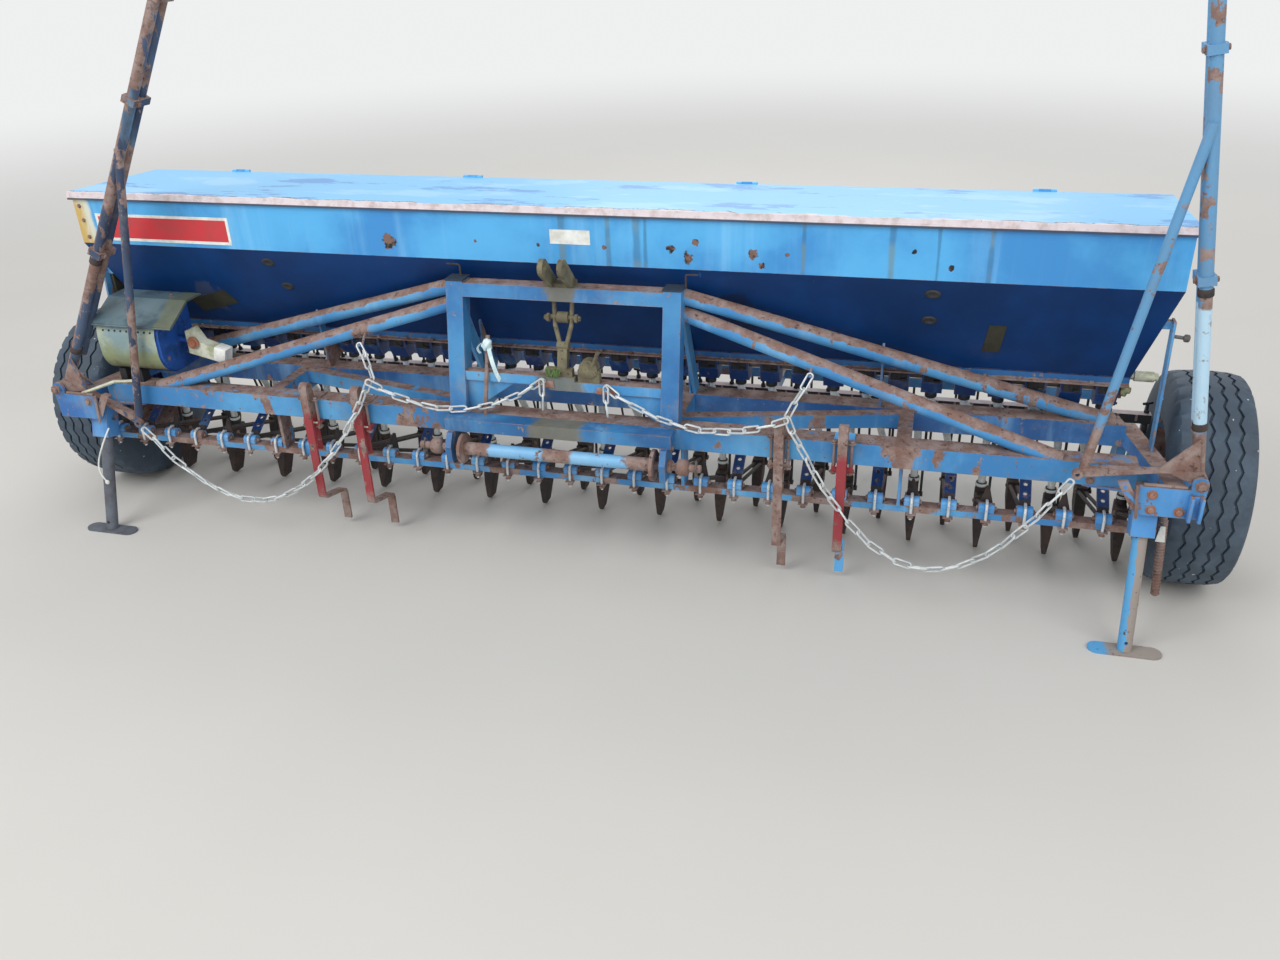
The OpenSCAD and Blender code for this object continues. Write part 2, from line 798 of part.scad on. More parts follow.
// Tube with flat ends along a list of points
module sweep(points, r, sides) {
  n = len(points);
  rings = [for (k = [0 : n - 1])
    ring(points[k], points[min(k + 1, n - 1)] - points[max(k - 1, 0)], r, sides)];
  polyhedron(
    points = [for (one = rings) each one],
    faces = concat(
      [[for (k = [0 : sides - 1]) k]],
      [for (j = [0 : n - 2], k = [0 : sides - 1]) let (m = (k + 1) % sides)
        [j * sides + m, j * sides + k, (j + 1) * sides + k, (j + 1) * sides + m]],
      [[for (k = [sides - 1 : -1 : 0]) (n - 1) * sides + k]]
    )
  );
}

function bend_point(a, b, c, d, t) =
  pow(1 - t, 3) * a + 3 * t * pow(1 - t, 2) * b + 3 * t * t * (1 - t) * c + pow(t, 3) * d;

// Seed tubes leave the outlets straight down and end straight down in the sockets
module seed_tubes() {
  color(zinc) placed() for (i = [0 : row_count - 1]) {
    head = [unit_x(i), outlet_y, tube_head_z - seat];
    neck = head - [0, 0, tube_stub];
    knee = [row_x(i), shoe_y(i) + socket_dy, tube_knee(i)];
    foot = [row_x(i), shoe_y(i) + socket_dy, shoe_top + 4 + seat];
    handle = [0, 0, tube_handle];
    aside = [tube_spread * (row_x(i) - unit_x(i)), 0, 0];
    sweep([
      head,
      for (t = [0 : 0.25 : 1]) bend_point(neck, neck - handle + aside, knee + handle, knee, t),
      foot
    ], seed_tube_r, 8);
  }
}

// Hopper

module hopper_section(inset) {
  polygon([
    [hopper_y + inset, hopper_top + (inset > 0 ? 1 : 0)], [hopper_y + inset, bend_z],
    [floor_y + inset, hopper_floor + inset], [floor_y + floor_w - inset, hopper_floor + inset],
    [hopper_back - inset, bend_z], [hopper_back - inset, hopper_top + (inset > 0 ? 1 : 0)]
  ]);
}

module hopper_front(inset) {
  half = hopper_len / 2 - inset;
  polygon([
    [-half, hopper_top + 2], [-half, bend_z], [-half + end_taper, hopper_floor],
    [half - end_taper, hopper_floor], [half, bend_z], [half, hopper_top + 2]
  ]);
}

module hopper_solid(inset) {
  half = hopper_len / 2;
  intersection() {
    across(-half, half) hopper_section(inset);
    along(hopper_y - 5, hopper_back + 5) hopper_front(inset);
  }
}

module hinge_places() {
  for (x = hinge_x) translate([x, hinge_y, hinge_z]) rotate([0, 90, 0]) children();
}

// Part of the hopper's sheets between two heights
module hopper_sheets(low, high) {
  intersection() {
    difference() {
      hopper_solid(0);
      hopper_solid(sheet);
    }
    block(-hopper_len, hopper_len, hopper_y - 10, hopper_back + 10, low, high);
  }
}

module hopper_funnel() {
  color(navy) placed() hopper_sheets(hopper_floor + sheet, bend_z);
}

module hopper_floor_plate() {
  color(navy) placed() difference() {
    hopper_sheets(hopper_floor - 1, hopper_floor + sheet);
    for (i = [0 : row_count - 1])
      translate([unit_x(i) - 18, hopper_mid - 24, hopper_floor - 1]) cube([36, 48, sheet + 3]);
  }
}

module hopper() {
  half = hopper_len / 2;
  color(light_blue) placed() {
    difference() {
      union() {
        hopper_sheets(bend_z, hopper_top + 3);
        block(-half - lid_over, half + lid_over, hopper_y - lid_over, hopper_back + lid_over,
          hopper_top - rim_low, hopper_top - rim_low + rim_t);
      }
      hopper_solid(sheet);
    }
    // Hinge knuckles behind the rim, with their pins
    hinge_places() {
      cylinder(h = 40, r = knuckle_r, center = true);
      cylinder(h = 80, r = hinge_pin_r, center = true);
    }
    for (x = hinge_x) {
      block(x - 20, x + 20, hopper_back + lid_over - 1, hinge_y, hopper_top - rim_low,
        hopper_top - rim_low + rim_t);
      block(x - 20, x + 20, hinge_y - knuckle_r, hinge_y, hopper_top - rim_low, hinge_z);
    }
  }
}

end_stay_x = side_x0 + 36;
end_bracket_z = 986;
function end_wall(z) =
  hopper_len / 2 - end_taper + (z - hopper_floor) / (bend_z - hopper_floor) * end_taper;

module hopper_stays() {
  stay_t = 8;
  floor_back = floor_y + floor_w;
  flange_y = floor_y - 14;
  slope = (floor_y - hopper_y) / (bend_z - hopper_floor);
  function front_wall(z) = floor_y - (z - hopper_floor) * slope - seat;
  function back_wall(z) = floor_back + (z - hopper_floor) * slope + seat;
  color(blue) placed() both_sides() {
    // Cradles that stand on the rear beam between the metering units
    for (k = [3, 9]) difference() {
      across(unit_gap_x(k) - stay_t / 2, unit_gap_x(k) + stay_t / 2) polygon([
        [rear_y + 4, beam_top], [rear_back - 4, beam_top], [445, 735], [480, 865],
        [back_wall(865), 865], [back_wall(hopper_floor), hopper_floor],
        [back_wall(hopper_floor), meter_top - seat], [flange_y - seat, meter_top - seat],
        [flange_y - seat, hopper_floor + 24], [front_wall(860), 860], [230, 850], [246, 700]
      ]);
      rod([0, meter_y + 34, meter_shaft_z], [side_x0, meter_y + 34, meter_shaft_z],
        meter_shaft_r + run, 24);
    }
    // End stay from the side member to the end wall
    across(end_stay_x, end_stay_x + stay_t) polygon([
      [122, side_top], [168, side_top], [200, end_bracket_z + 30], [154, end_bracket_z + 30]
    ]);
    along(174, 198) polygon([
      [end_wall(end_bracket_z) + seat, end_bracket_z], [end_stay_x + 1, end_bracket_z],
      [end_stay_x + 1, end_bracket_z + 26], [end_wall(end_bracket_z + 26) + seat, end_bracket_z + 26]
    ]);
  }
}

module metering_rail() {
  half = hopper_len / 2 - end_taper;
  color(light_blue) placed() {
    difference() {
      block(-half, half, floor_y, floor_y + floor_w, meter_top, hopper_floor);
      block(-half - 1, half + 1, floor_y + 6, floor_y + floor_w - 6, meter_top + 6, hopper_floor + 1);
    }
    block(-half, half, floor_y - 14, floor_y, meter_top, meter_top + 6);
  }
}

module metering_units() {
  color(dark) placed() for (i = [0 : row_count - 1]) difference() {
    union() {
      x = unit_x(i);
      across(x - meter_w / 2, x + meter_w / 2) polygon([
        [meter_y, meter_top], [meter_y, meter_top - 44], [meter_y + 26, meter_low],
        [meter_y + meter_d, meter_low], [meter_y + meter_d, meter_top]
      ]);
      translate([x, outlet_y, meter_low - outlet_h]) cylinder(h = outlet_h + 4, r = outlet_r, $fn = 24);
    }
    rod([unit_x(i) - 60, meter_y + 34, meter_shaft_z], [unit_x(i) + 60, meter_y + 34, meter_shaft_z],
      meter_shaft_r + run, 24);
  }
}

module metering_shaft() {
  half = (row_count - 1) / 2 * unit_pitch + 46;
  color(zinc) placed() {
    rod([-half, meter_y + 34, meter_shaft_z], [half, meter_y + 34, meter_shaft_z], meter_shaft_r, 24);
  }
}

// Gearbox at the left end

box_x0 = 47 - side_x0;
box_x1 = box_x0 + 265;
box_back = 150;
box_low = 640;

module gearbox_outline(grow) {
  difference() {
    hull() {
      translate([40, 748]) circle(r = 104 + grow);
      translate([40, 800]) circle(r = 104 + grow);
      translate([box_back - 30, box_low + 6 - grow]) square([30, 240]);
    }
    polygon([[-200, 820], [-60, 858], [60, 926], [400, 926], [400, 1100], [-200, 1100]]);
  }
}

module gearbox() {
  color(cream) placed() {
    across(box_x0, box_x1) gearbox_outline(0);
    across(box_x1, box_x1 + 12) gearbox_outline(-6);
    rod([box_x1 + 12, 60, 770], [box_x1 + 60, 60, 770], 13);
    // Legs down to the beam
    for (x = [box_x0 + 30, box_x0 + 105])
      block(x, x + 30, -30, 14, beam_top, 660);
  }
}

module gearbox_lid() {
  color(dark) placed() across(box_x0 - 6, box_x1 + 90) polygon([
    [-74, 854.2], [-72, 862], [56, 933], [box_back, 933], [box_back, 926], [60, 926], [-60, 858]
  ]);
}

module gearbox_lever() {
  color(cream) placed() {
    along(36, 84) difference() {
      polygon([
        [box_x1 + 64, 720], [box_x1 + 64, 812], [box_x1 + 92, 822], [box_x1 + 124, 768],
        [box_x1 + 214, 742], [box_x1 + 204, 688], [box_x1 + 126, 706]
      ]);
    }
    rod([box_x1 + 60, 60, 770], [box_x1 + 64, 60, 770], 13);
  }
}

// Wheels

module wheel_arms() {
  arm_t = 30;
  boss_r = 58;
  x1 = side_in(side_back_y) + 6;
  color(blue) placed() both_sides() {
    // Arm that drops from the side member to the hub
    across(x1, x1 + arm_t) {
      translate([axle_y, axle_z]) circle(r = boss_r);
      polygon([
        [rear_y + 20, beam_bottom], [side_back_y - 4, beam_bottom],
        [axle_y + boss_r * cos(12), axle_z + boss_r * sin(12)],
        [axle_y - boss_r * cos(12), axle_z + boss_r * sin(12)]
      ]);
    }
    rod([x1 + arm_t - 2, axle_y, axle_z], [hub_in - 6, axle_y, axle_z], 34);
    rod([hub_in - 8, axle_y, axle_z], [hub_in + hub_len - 26, axle_y, axle_z], axle_r, 48);
  }
}

module tyre() {
  r = tyre_d / 2;
  inner = rim_d / 2 + seat;
  half = tyre_w / 2;
  rotate([0, 90, 0]) rotate_extrude($fn = 64) difference() {
    polygon([
      [inner, -half * 0.72], [inner + 42, -half * 0.97], [inner + 80, -half], [r - 62, -half],
      [r - 26, -half * 0.9], [r - 7, -half * 0.7], [r, -half * 0.35], [r, half * 0.35],
      [r - 7, half * 0.7], [r - 26, half * 0.9], [r - 62, half], [inner + 80, half],
      [inner + 42, half * 0.97], [inner, half * 0.72]
    ]);
    for (y = [-0.3, 0.3]) translate([r - 9, y * half - 5]) square([20, 10]);
  }
}

module rim() {
  seat_r = rim_d / 2;
  half = tyre_w / 2 * 0.72;
  rotate([0, 90, 0]) rotate_extrude($fn = 64) polygon([
    [axle_r + run, hub_in - track / 2], [axle_r + run, hub_in - track / 2 + hub_len - 24],
    [0, hub_in - track / 2 + hub_len - 24], [0, hub_in - track / 2 + hub_len],
    [62, hub_in - track / 2 + hub_len], [66, 20], [150, 26], [seat_r - 34, 10],
    [seat_r - 12, 24], [seat_r - 14, half - 18], [seat_r - 2, half + 12], [seat_r + 12, half + 16],
    [seat_r + 12, half + 10], [seat_r, half + 1], [seat_r, -half - 1], [seat_r + 12, -half - 10],
    [seat_r + 12, -half - 16], [seat_r - 2, -half - 12], [seat_r - 14, -half + 18],
    [seat_r - 20, 0], [seat_r - 40, 2], [148, 18], [66, 10], [60, hub_in - track / 2]
  ]);
}

module wheel_place(side) {
  placed() translate([side * track / 2, axle_y, axle_z]) mirror([side < 0 ? 1 : 0, 0, 0]) children();
}

module tyre_left() { color(dark) wheel_place(-1) tyre(); }

module tyre_right() { color(dark) wheel_place(1) tyre(); }

module wheel_left() { color(rusty) wheel_place(-1) rim(); }

module wheel_right() { color(rusty) wheel_place(1) rim(); }

// Markers, drawn upright with the pivot at the origin and the lever to -X

module marker() {
  disc_end = marker_len;
  difference() {
    union() {
      rotate([90, 0, 0]) cylinder(h = 86, r = hub_r, center = true);
      cylinder(h = disc_end - 420, r = marker_r, $fn = 32);
      // Slide tube behind the main tube, with its clamps
      translate([0, slide_tube_y, slide_tube_from])
        cylinder(h = disc_end - slide_tube_from, r = marker_r - 2, $fn = 32);
      for (z = [620, 1250, disc_end - 450])
        translate([-marker_r - 6, -marker_r - 4, z]) cube([2 * marker_r + 12, slide_tube_y + 2 * marker_r + 8, 26]);
      // Lever with its eye
      along(-40, -34) polygon([
        [20, -10], [20, 14], [0, hub_r + 8], [-lever_l, lever_z + 15], [-lever_l, lever_z - 15],
        [-90, 36], [-30, -2.6]
      ]);
      along(-40, -10) polygon([
        [-20, 27], [-20, 33], [-lever_l + 18, lever_z + 15], [-lever_l + 18, lever_z + 9]
      ]);
      translate([-lever_l, chain_y - marker_y - marker_dy + 14, lever_z]) rotate([90, 0, 0])
        cylinder(h = 20, r = lever_eye_r);
      // Strut from the lever up to the arm
      rod([-lever_l + 20, -22, lever_z + 8], [0, -14, strut_at], 15, 24);
      // Gusset between the arm and the lever
      along(-30, -22) polygon([[0, 0], [-120, 40], [0, 140]]);
    }
    rotate([90, 0, 0]) cylinder(h = 200, r = marker_pin_r + run, center = true);
    translate([-lever_l, 0, lever_z]) rotate([90, 0, 0]) cylinder(h = 300, r = 7);
  }
  // Spindle that carries the disc
  translate([0, slide_tube_y, disc_end]) rotate([0, 12, 0]) cylinder(h = disc_out, r = 12, $fn = 32);
}

module marker_disc() {
  translate([0, slide_tube_y, marker_len]) rotate([0, 12, 0]) translate([0, 0, disc_out - 64])
    rotate_extrude($fn = 64) polygon([
      [12 + run, 0], [34, 0], [34, 30], [90, 27], [disc_d / 2, 6], [disc_d / 2, 10],
      [92, 33], [34, 38], [34, 50], [12 + run, 50]
    ]);
}

module marker_place(side, lean) {
  placed() translate([side * pivot_x, marker_y + marker_dy, pivot_z]) mirror([side < 0 ? 1 : 0, 0, 0])
    rotate([0, -lean, 0]) children();
}

module marker_left() { color(rusty) marker_place(-1, lean_left) marker(); }

module marker_right() { color(rusty) marker_place(1, lean_right) marker(); }

module disc_left() { color(rusty) marker_place(-1, lean_left) marker_disc(); }

module disc_right() { color(rusty) marker_place(1, lean_right) marker_disc(); }

// Stands

module stand_sleeves() {
  color(blue) placed() both_sides() difference() {
    translate([leg_x, leg_y(0), 0]) rotate([-leg_lean, 0, 0])
      translate([-sleeve_w / 2, -sleeve_w / 2 + 4, (corner_z - sleeve_h) / cos(leg_lean)])
      cube([sleeve_w, sleeve_w - 8, sleeve_h * 1.4]);
    block(leg_x - sleeve_w, leg_x + sleeve_w, plate_y - sleeve_w, beam, corner_z, beam_top + beam);
    translate([leg_x, leg_y(0), 0]) rotate([-leg_lean, 0, 0]) cylinder(h = 900, r = leg_r + run);
    block(plate_in - 1, plate_out, plate_y - 60, side_front_y + seat, plate_low - 4, corner_z + 1);
  }
}

module stand() {
  difference() {
    union() {
      translate([leg_x, leg_y(0), 0]) rotate([-leg_lean, 0, 0]) translate([0, 0, 4])
        cylinder(h = leg_top_z / cos(leg_lean), r = leg_r);
      translate([leg_x, leg_y(0), 0]) linear_extrude(height = foot_t) hull()
        for (side = [-1, 1]) translate([side * (foot_l - foot_w) / 2, 0]) circle(r = foot_w / 2);
    }
    block(leg_x - foot_l, leg_x + foot_l, leg_foot_y - foot_l, leg_foot_y + foot_l, -foot_l, 0);
    translate([leg_x, leg_y(40), 40]) rotate([90, 0, 0]) cylinder(h = 120, r = 6, center = true);
  }
}

module stand_left() { color(rusty) placed() mirror([1, 0, 0]) stand(); }

module stand_right() { color(rusty) placed() stand(); }

// Track looseners on the front beam: looped flat spring bars with a stepped foot

loosener_x = [1010, 796];
bar_w = 32;
spring_t = 10;
loop_r = 23;
loop_z = beam_top + 77 - loop_r;
back_leg_y = front_y - seat;
loop_y = back_leg_y - loop_r;
back_leg_low = 400;

module loosener(x) {
  front_leg = loop_y - loop_r;
  inner = loop_r - spring_t;
  across(x - bar_w / 2, x + bar_w / 2) {
    // Loop over the top
    difference() {
      translate([loop_y, loop_z]) circle(r = loop_r);
      translate([loop_y, loop_z]) circle(r = inner);
      translate([front_leg - 1, loop_z - 2 * loop_r]) square([2 * loop_r + 2, 2 * loop_r]);
    }
    // Front leg with the stepped foot
    polygon([
      [front_leg, loop_z], [front_leg + spring_t, loop_z], [front_leg + spring_t, 214],
      [front_leg + 22, 204], [front_y + 98, 172], [front_y + 110, 164], [front_y + 116, 146],
      [front_y + 116, 26], [front_y + 107, 26], [front_y + 107, 144], [front_y + 102, 156],
      [front_y + 94, 162], [front_leg + 16, 194], [front_leg + 4, 200], [front_leg, 210]
    ]);
    // Rear leg in front of the beam
    translate([back_leg_y - spring_t, back_leg_low]) square([spring_t, loop_z - back_leg_low]);
  }
}

module track_looseners() {
  color(red) placed() both_sides() for (x = loosener_x) {
    loosener(x);
    // Plate on the beam and the clamp bar under it
    block(x - 34, x + 34, back_leg_y - spring_t - 12, front_y + beam - 12, beam_top, beam_top + 6);
    block(x - 36, x + 36, back_leg_y - spring_t - 12, back_leg_y - spring_t, beam_bottom - 22,
      beam_bottom - 8);
    for (side = [-1, 1])
      block(x + side * 30 - 6, x + side * 30 + 6, back_leg_y - spring_t - 12, front_y + 50,
        beam_bottom - 12, beam_bottom);
  }
}

// Marker chains

link_t = wire * 0.8;
link_gap = 0.9;
link_step = link_pitch - link_gap;
link_half_w = 6.2;
peg_r = 3.5;
eye_peg_r = 5;

// One link, lying in the XZ plane with its length along X
module link() {
  half = link_pitch / 2;
  w = link_half_w;
  along(-link_t / 2, link_t / 2) difference() {
    polygon([
      [-half - wire - 2, 0], [-half + 4, w + wire], [half - 4, w + wire],
      [half + wire + 2, 0], [half - 4, -w - wire], [-half + 4, -w - wire]
    ]);
    square([2 * half, 2 * w], center = true);
  }
}

// A chain of n links hangs in a parabola from a to b, whose sag follows from its length
function hang(a, b, sag, t) = a + (b - a) * t - [0, 0, 4 * sag * t * (1 - t)];
function hang_speed(a, b, sag, t) =
  norm(hang(a, b, sag, t + 0.001) - hang(a, b, sag, t - 0.001)) / 0.002;
function chord_fix(a, b, sag, t, u) =
  t + (u - t) * link_step / norm(hang(a, b, sag, u) - hang(a, b, sag, t));
function chord_next(a, b, sag, t) =
  let (u = t + link_step / hang_speed(a, b, sag, t))
  let (v = chord_fix(a, b, sag, t, u))
  chord_fix(a, b, sag, t, chord_fix(a, b, sag, t, v));
function hang_times(a, b, sag, n, t, out = []) =
  n < 0 ? out : hang_times(a, b, sag, n - 1, chord_next(a, b, sag, t), concat(out, [t]));
function hang_start(a, b, sag, over) = -over / hang_speed(a, b, sag, 0);
function hang_over(a, b, sag, n, start, end) =
  let (times = hang_times(a, b, sag, n, hang_start(a, b, sag, start)))
  times[n] - 1 - end / hang_speed(a, b, sag, 1);
function hang_sag(a, b, n, start, end, low = 1, high = 1400, turns = 26) =
  turns == 0 ? (low + high) / 2
  : let (mid = (low + high) / 2)
    hang_over(a, b, mid, n, start, end) > 0
    ? hang_sag(a, b, n, start, end, mid, high, turns - 1)
    : hang_sag(a, b, n, start, end, low, mid, turns - 1);

// A link that is not turned lies across the Y direction as squarely as its run lets it
module links_along(points, first_turn = 0) {
  for (k = [0 : len(points) - 2]) {
    d = points[k + 1] - points[k];
    yaw = atan2(d[1], d[0]);
    pitch = atan2(d[2], norm([d[0], d[1]]));
    roll = atan2(-sin(pitch) * sin(yaw), cos(yaw));
    translate(points[k] + d / 2) rotate([0, 0, yaw]) rotate([0, -pitch, 0])
      rotate([roll + (k % 2 == first_turn ? 0 : 90), 0, 0]) link();
  }
}

// Start and end are how far the first and last link reach past the points they hang on
module chain(a, b, n, start, end, first_turn = 0) {
  sag = hang_sag(a, b, n, start, end);
  links_along([for (t = hang_times(a, b, sag, n, hang_start(a, b, sag, start))) hang(a, b, sag, t)],
    first_turn);
}

chain_y = -126;
eye_dy = 10;
peg_over = 6.4;
eye_y = post_y(bar_z) + bar_set_back - 11;

// Side, marker lean, dip at the lever, junction x and z, middle eye x and z,
// links of the long run, how far out the short chain hangs, and links of the inner run
chain_table = [
  [-1, lean_left, 50, 708, 731, 68, 742, 26, 86, 13],
  [1, lean_right, 60, 823, 707, 172, 732, 25, 60, 13]
];
chain_start = lever_eye_r + link_pitch / 2 + wire + 2 - link_step / 2 + 0.6;
hanger_links = 3;

function lever_eye(side, lean) = [
  side * (pivot_x - lever_l * cos(lean) - lever_z * sin(lean)), chain_y,
  pivot_z - lever_l * sin(lean) + lever_z * cos(lean)
];

// Side, start at the lever, junction, middle eye, links of the long run, spread of the
// short chain, links of the inner run
chain_runs = [for (c = chain_table) [
  c[0], lever_eye(c[0], c[1]) + chain_start * [-c[0] * cos(c[2]), 0, -sin(c[2])],
  [c[0] * c[3], chain_y, c[4]], [c[0] * c[5], eye_y, c[6]], c[7], c[8], c[9]
]];

function flat_reach(r) = r + seat - link_gap / 2;
function slant_reach(r, slope) =
  (r + link_t / 2 * slope) / sqrt(1 - slope * slope) + seat - link_gap / 2;

// Point on the lower brace tube that the short chain's hook grows from
function hanger_tube(c) =
  let (x = abs(c[2][0]) + c[5])
  let (f = (x - lower_from[0]) / (lower_end[0] - lower_from[0]))
  [c[0] * x, lower_from[1] + f * (lower_end[1] - lower_from[1]),
    lower_from[2] + f * (lower_end[2] - lower_from[2])];
function hanger_foot(c) = c[2] + [0, 3 * eye_dy, 0];
hanger_clear = brace_r + 42;
function hanger_slope(c) =
  (hanger_tube(c)[1] - hanger_clear - hanger_foot(c)[1]) / (hanger_links * link_step - 12);
function hanger_len(c) =
  hanger_links * link_step - slant_reach(peg_r, hanger_slope(c)) - flat_reach(eye_peg_r);
function hanger_top(c) =
  let (y = hanger_tube(c)[1] - hanger_clear)
  [c[0] * (abs(c[2][0]) + c[5]), y,
    c[2][2] + sqrt(pow(hanger_len(c), 2) - pow(y - hanger_foot(c)[1], 2) - c[5] * c[5])];
// Direction square to the flat side of the top link
function hanger_pin(c) =
  let (d = (hanger_top(c) - hanger_foot(c)) / norm(hanger_top(c) - hanger_foot(c)))
  ([0, 1, 0] - d[1] * d) / norm([0, 1, 0] - d[1] * d);

module marker_chains() {
  color(zinc) placed() for (c = chain_runs) {
    junction = c[2];
    eye = c[3];
    chain(c[1], junction, c[4], 0, flat_reach(peg_r), (c[4] - 1) % 2);
    inner = junction - [0, eye_dy, 0];
    slope = abs(eye[1] - inner[1]) / norm(eye - inner);
    chain(inner, eye, c[6], slant_reach(peg_r, slope), slant_reach(eye_peg_r, slope));
    // Pin that joins the runs
    rod(junction - [0, eye_dy + peg_over, 0], junction + [0, 3 * eye_dy + peg_over, 0], peg_r, 12);
    // Short chain up to the brace tube
    foot = hanger_foot(c);
    up = (hanger_top(c) - foot) / norm(hanger_top(c) - foot);
    links_along([for (k = [0 : hanger_links])
      foot + up * (k * link_step - slant_reach(peg_r, hanger_slope(c)))]);
    // Loose tail that hangs from the middle eye
    tail = eye + [0, -eye_dy, flat_reach(eye_peg_r)];
    links_along([for (k = [0 : 2]) tail - [0, 0, k * link_step]]);
  }
}

// Following harrow behind the coulters

module harrow_beam() {
  color(blue) placed()
    block(-harrow_half, harrow_half, harrow_y, harrow_y + harrow_tube, harrow_z, harrow_z + harrow_tube);
}

harrow_arm_x = [5.5 * row_pitch - 1.5, 13 * row_pitch - 3];

module harrow_arms() {
  color(blue) placed() both_sides() for (x = harrow_arm_x) {
    across(x - 8, x + 8) polygon([
      [rear_back, beam_bottom + 2], [rear_back, beam_bottom + 44], [press_y - 12, press_z - 32],
      [harrow_y, harrow_z + harrow_tube - 2], [harrow_y, harrow_z + 2], [press_y - 12, press_z - 66]
    ]);
  }
}

module harrow_tines() {
  color(dark) placed() for (k = [0 : harrow_count - 1]) {
    x = (k - (harrow_count - 1) / 2) * harrow_pitch;
    knee = [x, harrow_top_y, harrow_knee_z];
    lap = harrow_r * tan(harrow_tilt / 2);
    rod([x, harrow_top_y, harrow_z + harrow_tube], knee - [0, 0, lap], harrow_r, 8);
    rod(knee + [0, 0, lap] - [0, tan(harrow_tilt) * lap, 0], [x, harrow_y + harrow_back, harrow_tip],
      harrow_r, 8);
  }
}

// Lid

module hopper_lid() {
  half = hopper_len / 2 + lid_over;
  front = hopper_y - lid_over;
  back = hopper_back + lid_over;
  skirt_z = hopper_top - rim_low + rim_t + seat;
  color(light_blue) placed() difference() {
    union() {
      difference() {
        across(-half, half) polygon([
          [front, skirt_z], [front, hopper_top + lid_t], [back, hopper_top + 4],
          [back, hopper_top - 4], [hopper_back + 3, skirt_z]
        ]);
        across(-half + skirt_t, half - skirt_t) polygon([
          [front + skirt_t, skirt_z - 9], [front + skirt_t, hopper_top + lid_t - skirt_t],
          [back - skirt_t, hopper_top + seat], [back - skirt_t, skirt_z - 9]
        ]);
      }
      // Hinge knuckles
      for (x = hinge_x, side = [-1, 1]) {
        translate([x + side * 30, hinge_y, hinge_z]) rotate([0, 90, 0])
          cylinder(h = 19, r = knuckle_r, center = true);
        block(x + side * 30 - 9.5, x + side * 30 + 9.5, back - 1, hinge_y - 3,
          hopper_top - 3, hinge_z + 4);
      }
    }
    hinge_places() cylinder(h = 90, r = hinge_pin_r + 0.05, center = true);
  }
}

front_beam();
rear_beam();
frame_ties();
side_members();
headstock();
headstock_gussets();
brace_tubes();
top_link_clevis();
top_link_shackle();
hitch_beam();
lower_link_bar();
coulter_rail();
rail_hangers();
coulter_clamps();
clamp_hooks();
front_coulters();
rear_coulters();
coulter_stays();
pressure_bar();
pressure_arms();
pressure_springs();
seed_tubes();
hopper();
hopper_funnel();
hopper_floor_plate();
hopper_stays();
metering_rail();
metering_units();
metering_shaft();
gearbox();
gearbox_lid();
gearbox_lever();
wheel_arms();
stand_sleeves();
track_looseners();
marker_chains();
harrow_beam();
harrow_arms();
harrow_tines();
hopper_lid();
tyre_left();
wheel_left();
tyre_right();
wheel_right();
marker_left();
marker_right();
disc_left();
disc_right();
stand_left();
stand_right();
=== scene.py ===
# Looks of a worn mounted seed drill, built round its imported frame
import math
import random

import bmesh
import bpy
from mathutils import Matrix, Vector


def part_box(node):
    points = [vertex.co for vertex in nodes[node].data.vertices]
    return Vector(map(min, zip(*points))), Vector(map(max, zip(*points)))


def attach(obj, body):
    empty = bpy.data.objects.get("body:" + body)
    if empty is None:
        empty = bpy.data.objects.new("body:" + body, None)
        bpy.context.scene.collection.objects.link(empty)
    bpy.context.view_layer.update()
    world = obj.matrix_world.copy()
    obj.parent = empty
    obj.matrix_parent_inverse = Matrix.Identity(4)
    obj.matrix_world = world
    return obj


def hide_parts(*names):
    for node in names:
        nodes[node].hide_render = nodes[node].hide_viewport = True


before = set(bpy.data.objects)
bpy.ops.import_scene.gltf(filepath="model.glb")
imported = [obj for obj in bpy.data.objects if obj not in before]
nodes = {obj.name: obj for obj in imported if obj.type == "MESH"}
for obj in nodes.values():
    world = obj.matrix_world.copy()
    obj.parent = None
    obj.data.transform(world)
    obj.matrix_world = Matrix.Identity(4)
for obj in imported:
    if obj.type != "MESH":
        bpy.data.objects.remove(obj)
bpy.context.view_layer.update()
random.seed(33)

# Heights and places taken from the frame
rail_low, rail_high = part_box("coulter_rail")
RAIL_FRONT = rail_low.y
beam_low, beam_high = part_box("front_beam")
band_low, band_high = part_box("hopper")
funnel_low, funnel_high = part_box("hopper_funnel")
lid_low, lid_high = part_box("hopper_lid")
box_low, box_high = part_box("gearbox")
# The hopper's rim and the lid's skirt stand this much higher along the front than their solids do
FRONT_RISE = 0.022
LID_RISE = 0.008
LID_EDGE = lid_low.z + FRONT_RISE
ROWS = 33
ROW_PITCH = 0.125
MIDDLE_ROW = (ROWS - 1) // 2
UNIT_PITCH = (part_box("metering_units")[1].x - 0.037) / MIDDLE_ROW
ROW_X = [(row - MIDDLE_ROW) * ROW_PITCH for row in range(ROWS)]
UNIT_X = [(row - MIDDLE_ROW) * UNIT_PITCH for row in range(ROWS)]


def at(x, y, z):
    """Point whose y is measured back from the front face of the coulter rail"""
    return Vector((x, y + RAIL_FRONT, z))


def srgb(red, green, blue):
    """Linear colour of a screen colour whose parts run from 0 to 255"""
    parts = []
    for part in (red, green, blue):
        share = part / 255
        parts.append(share / 12.92 if share <= 0.04045 else ((share + 0.055) / 1.055) ** 2.4)
    return (*parts, 1.0)


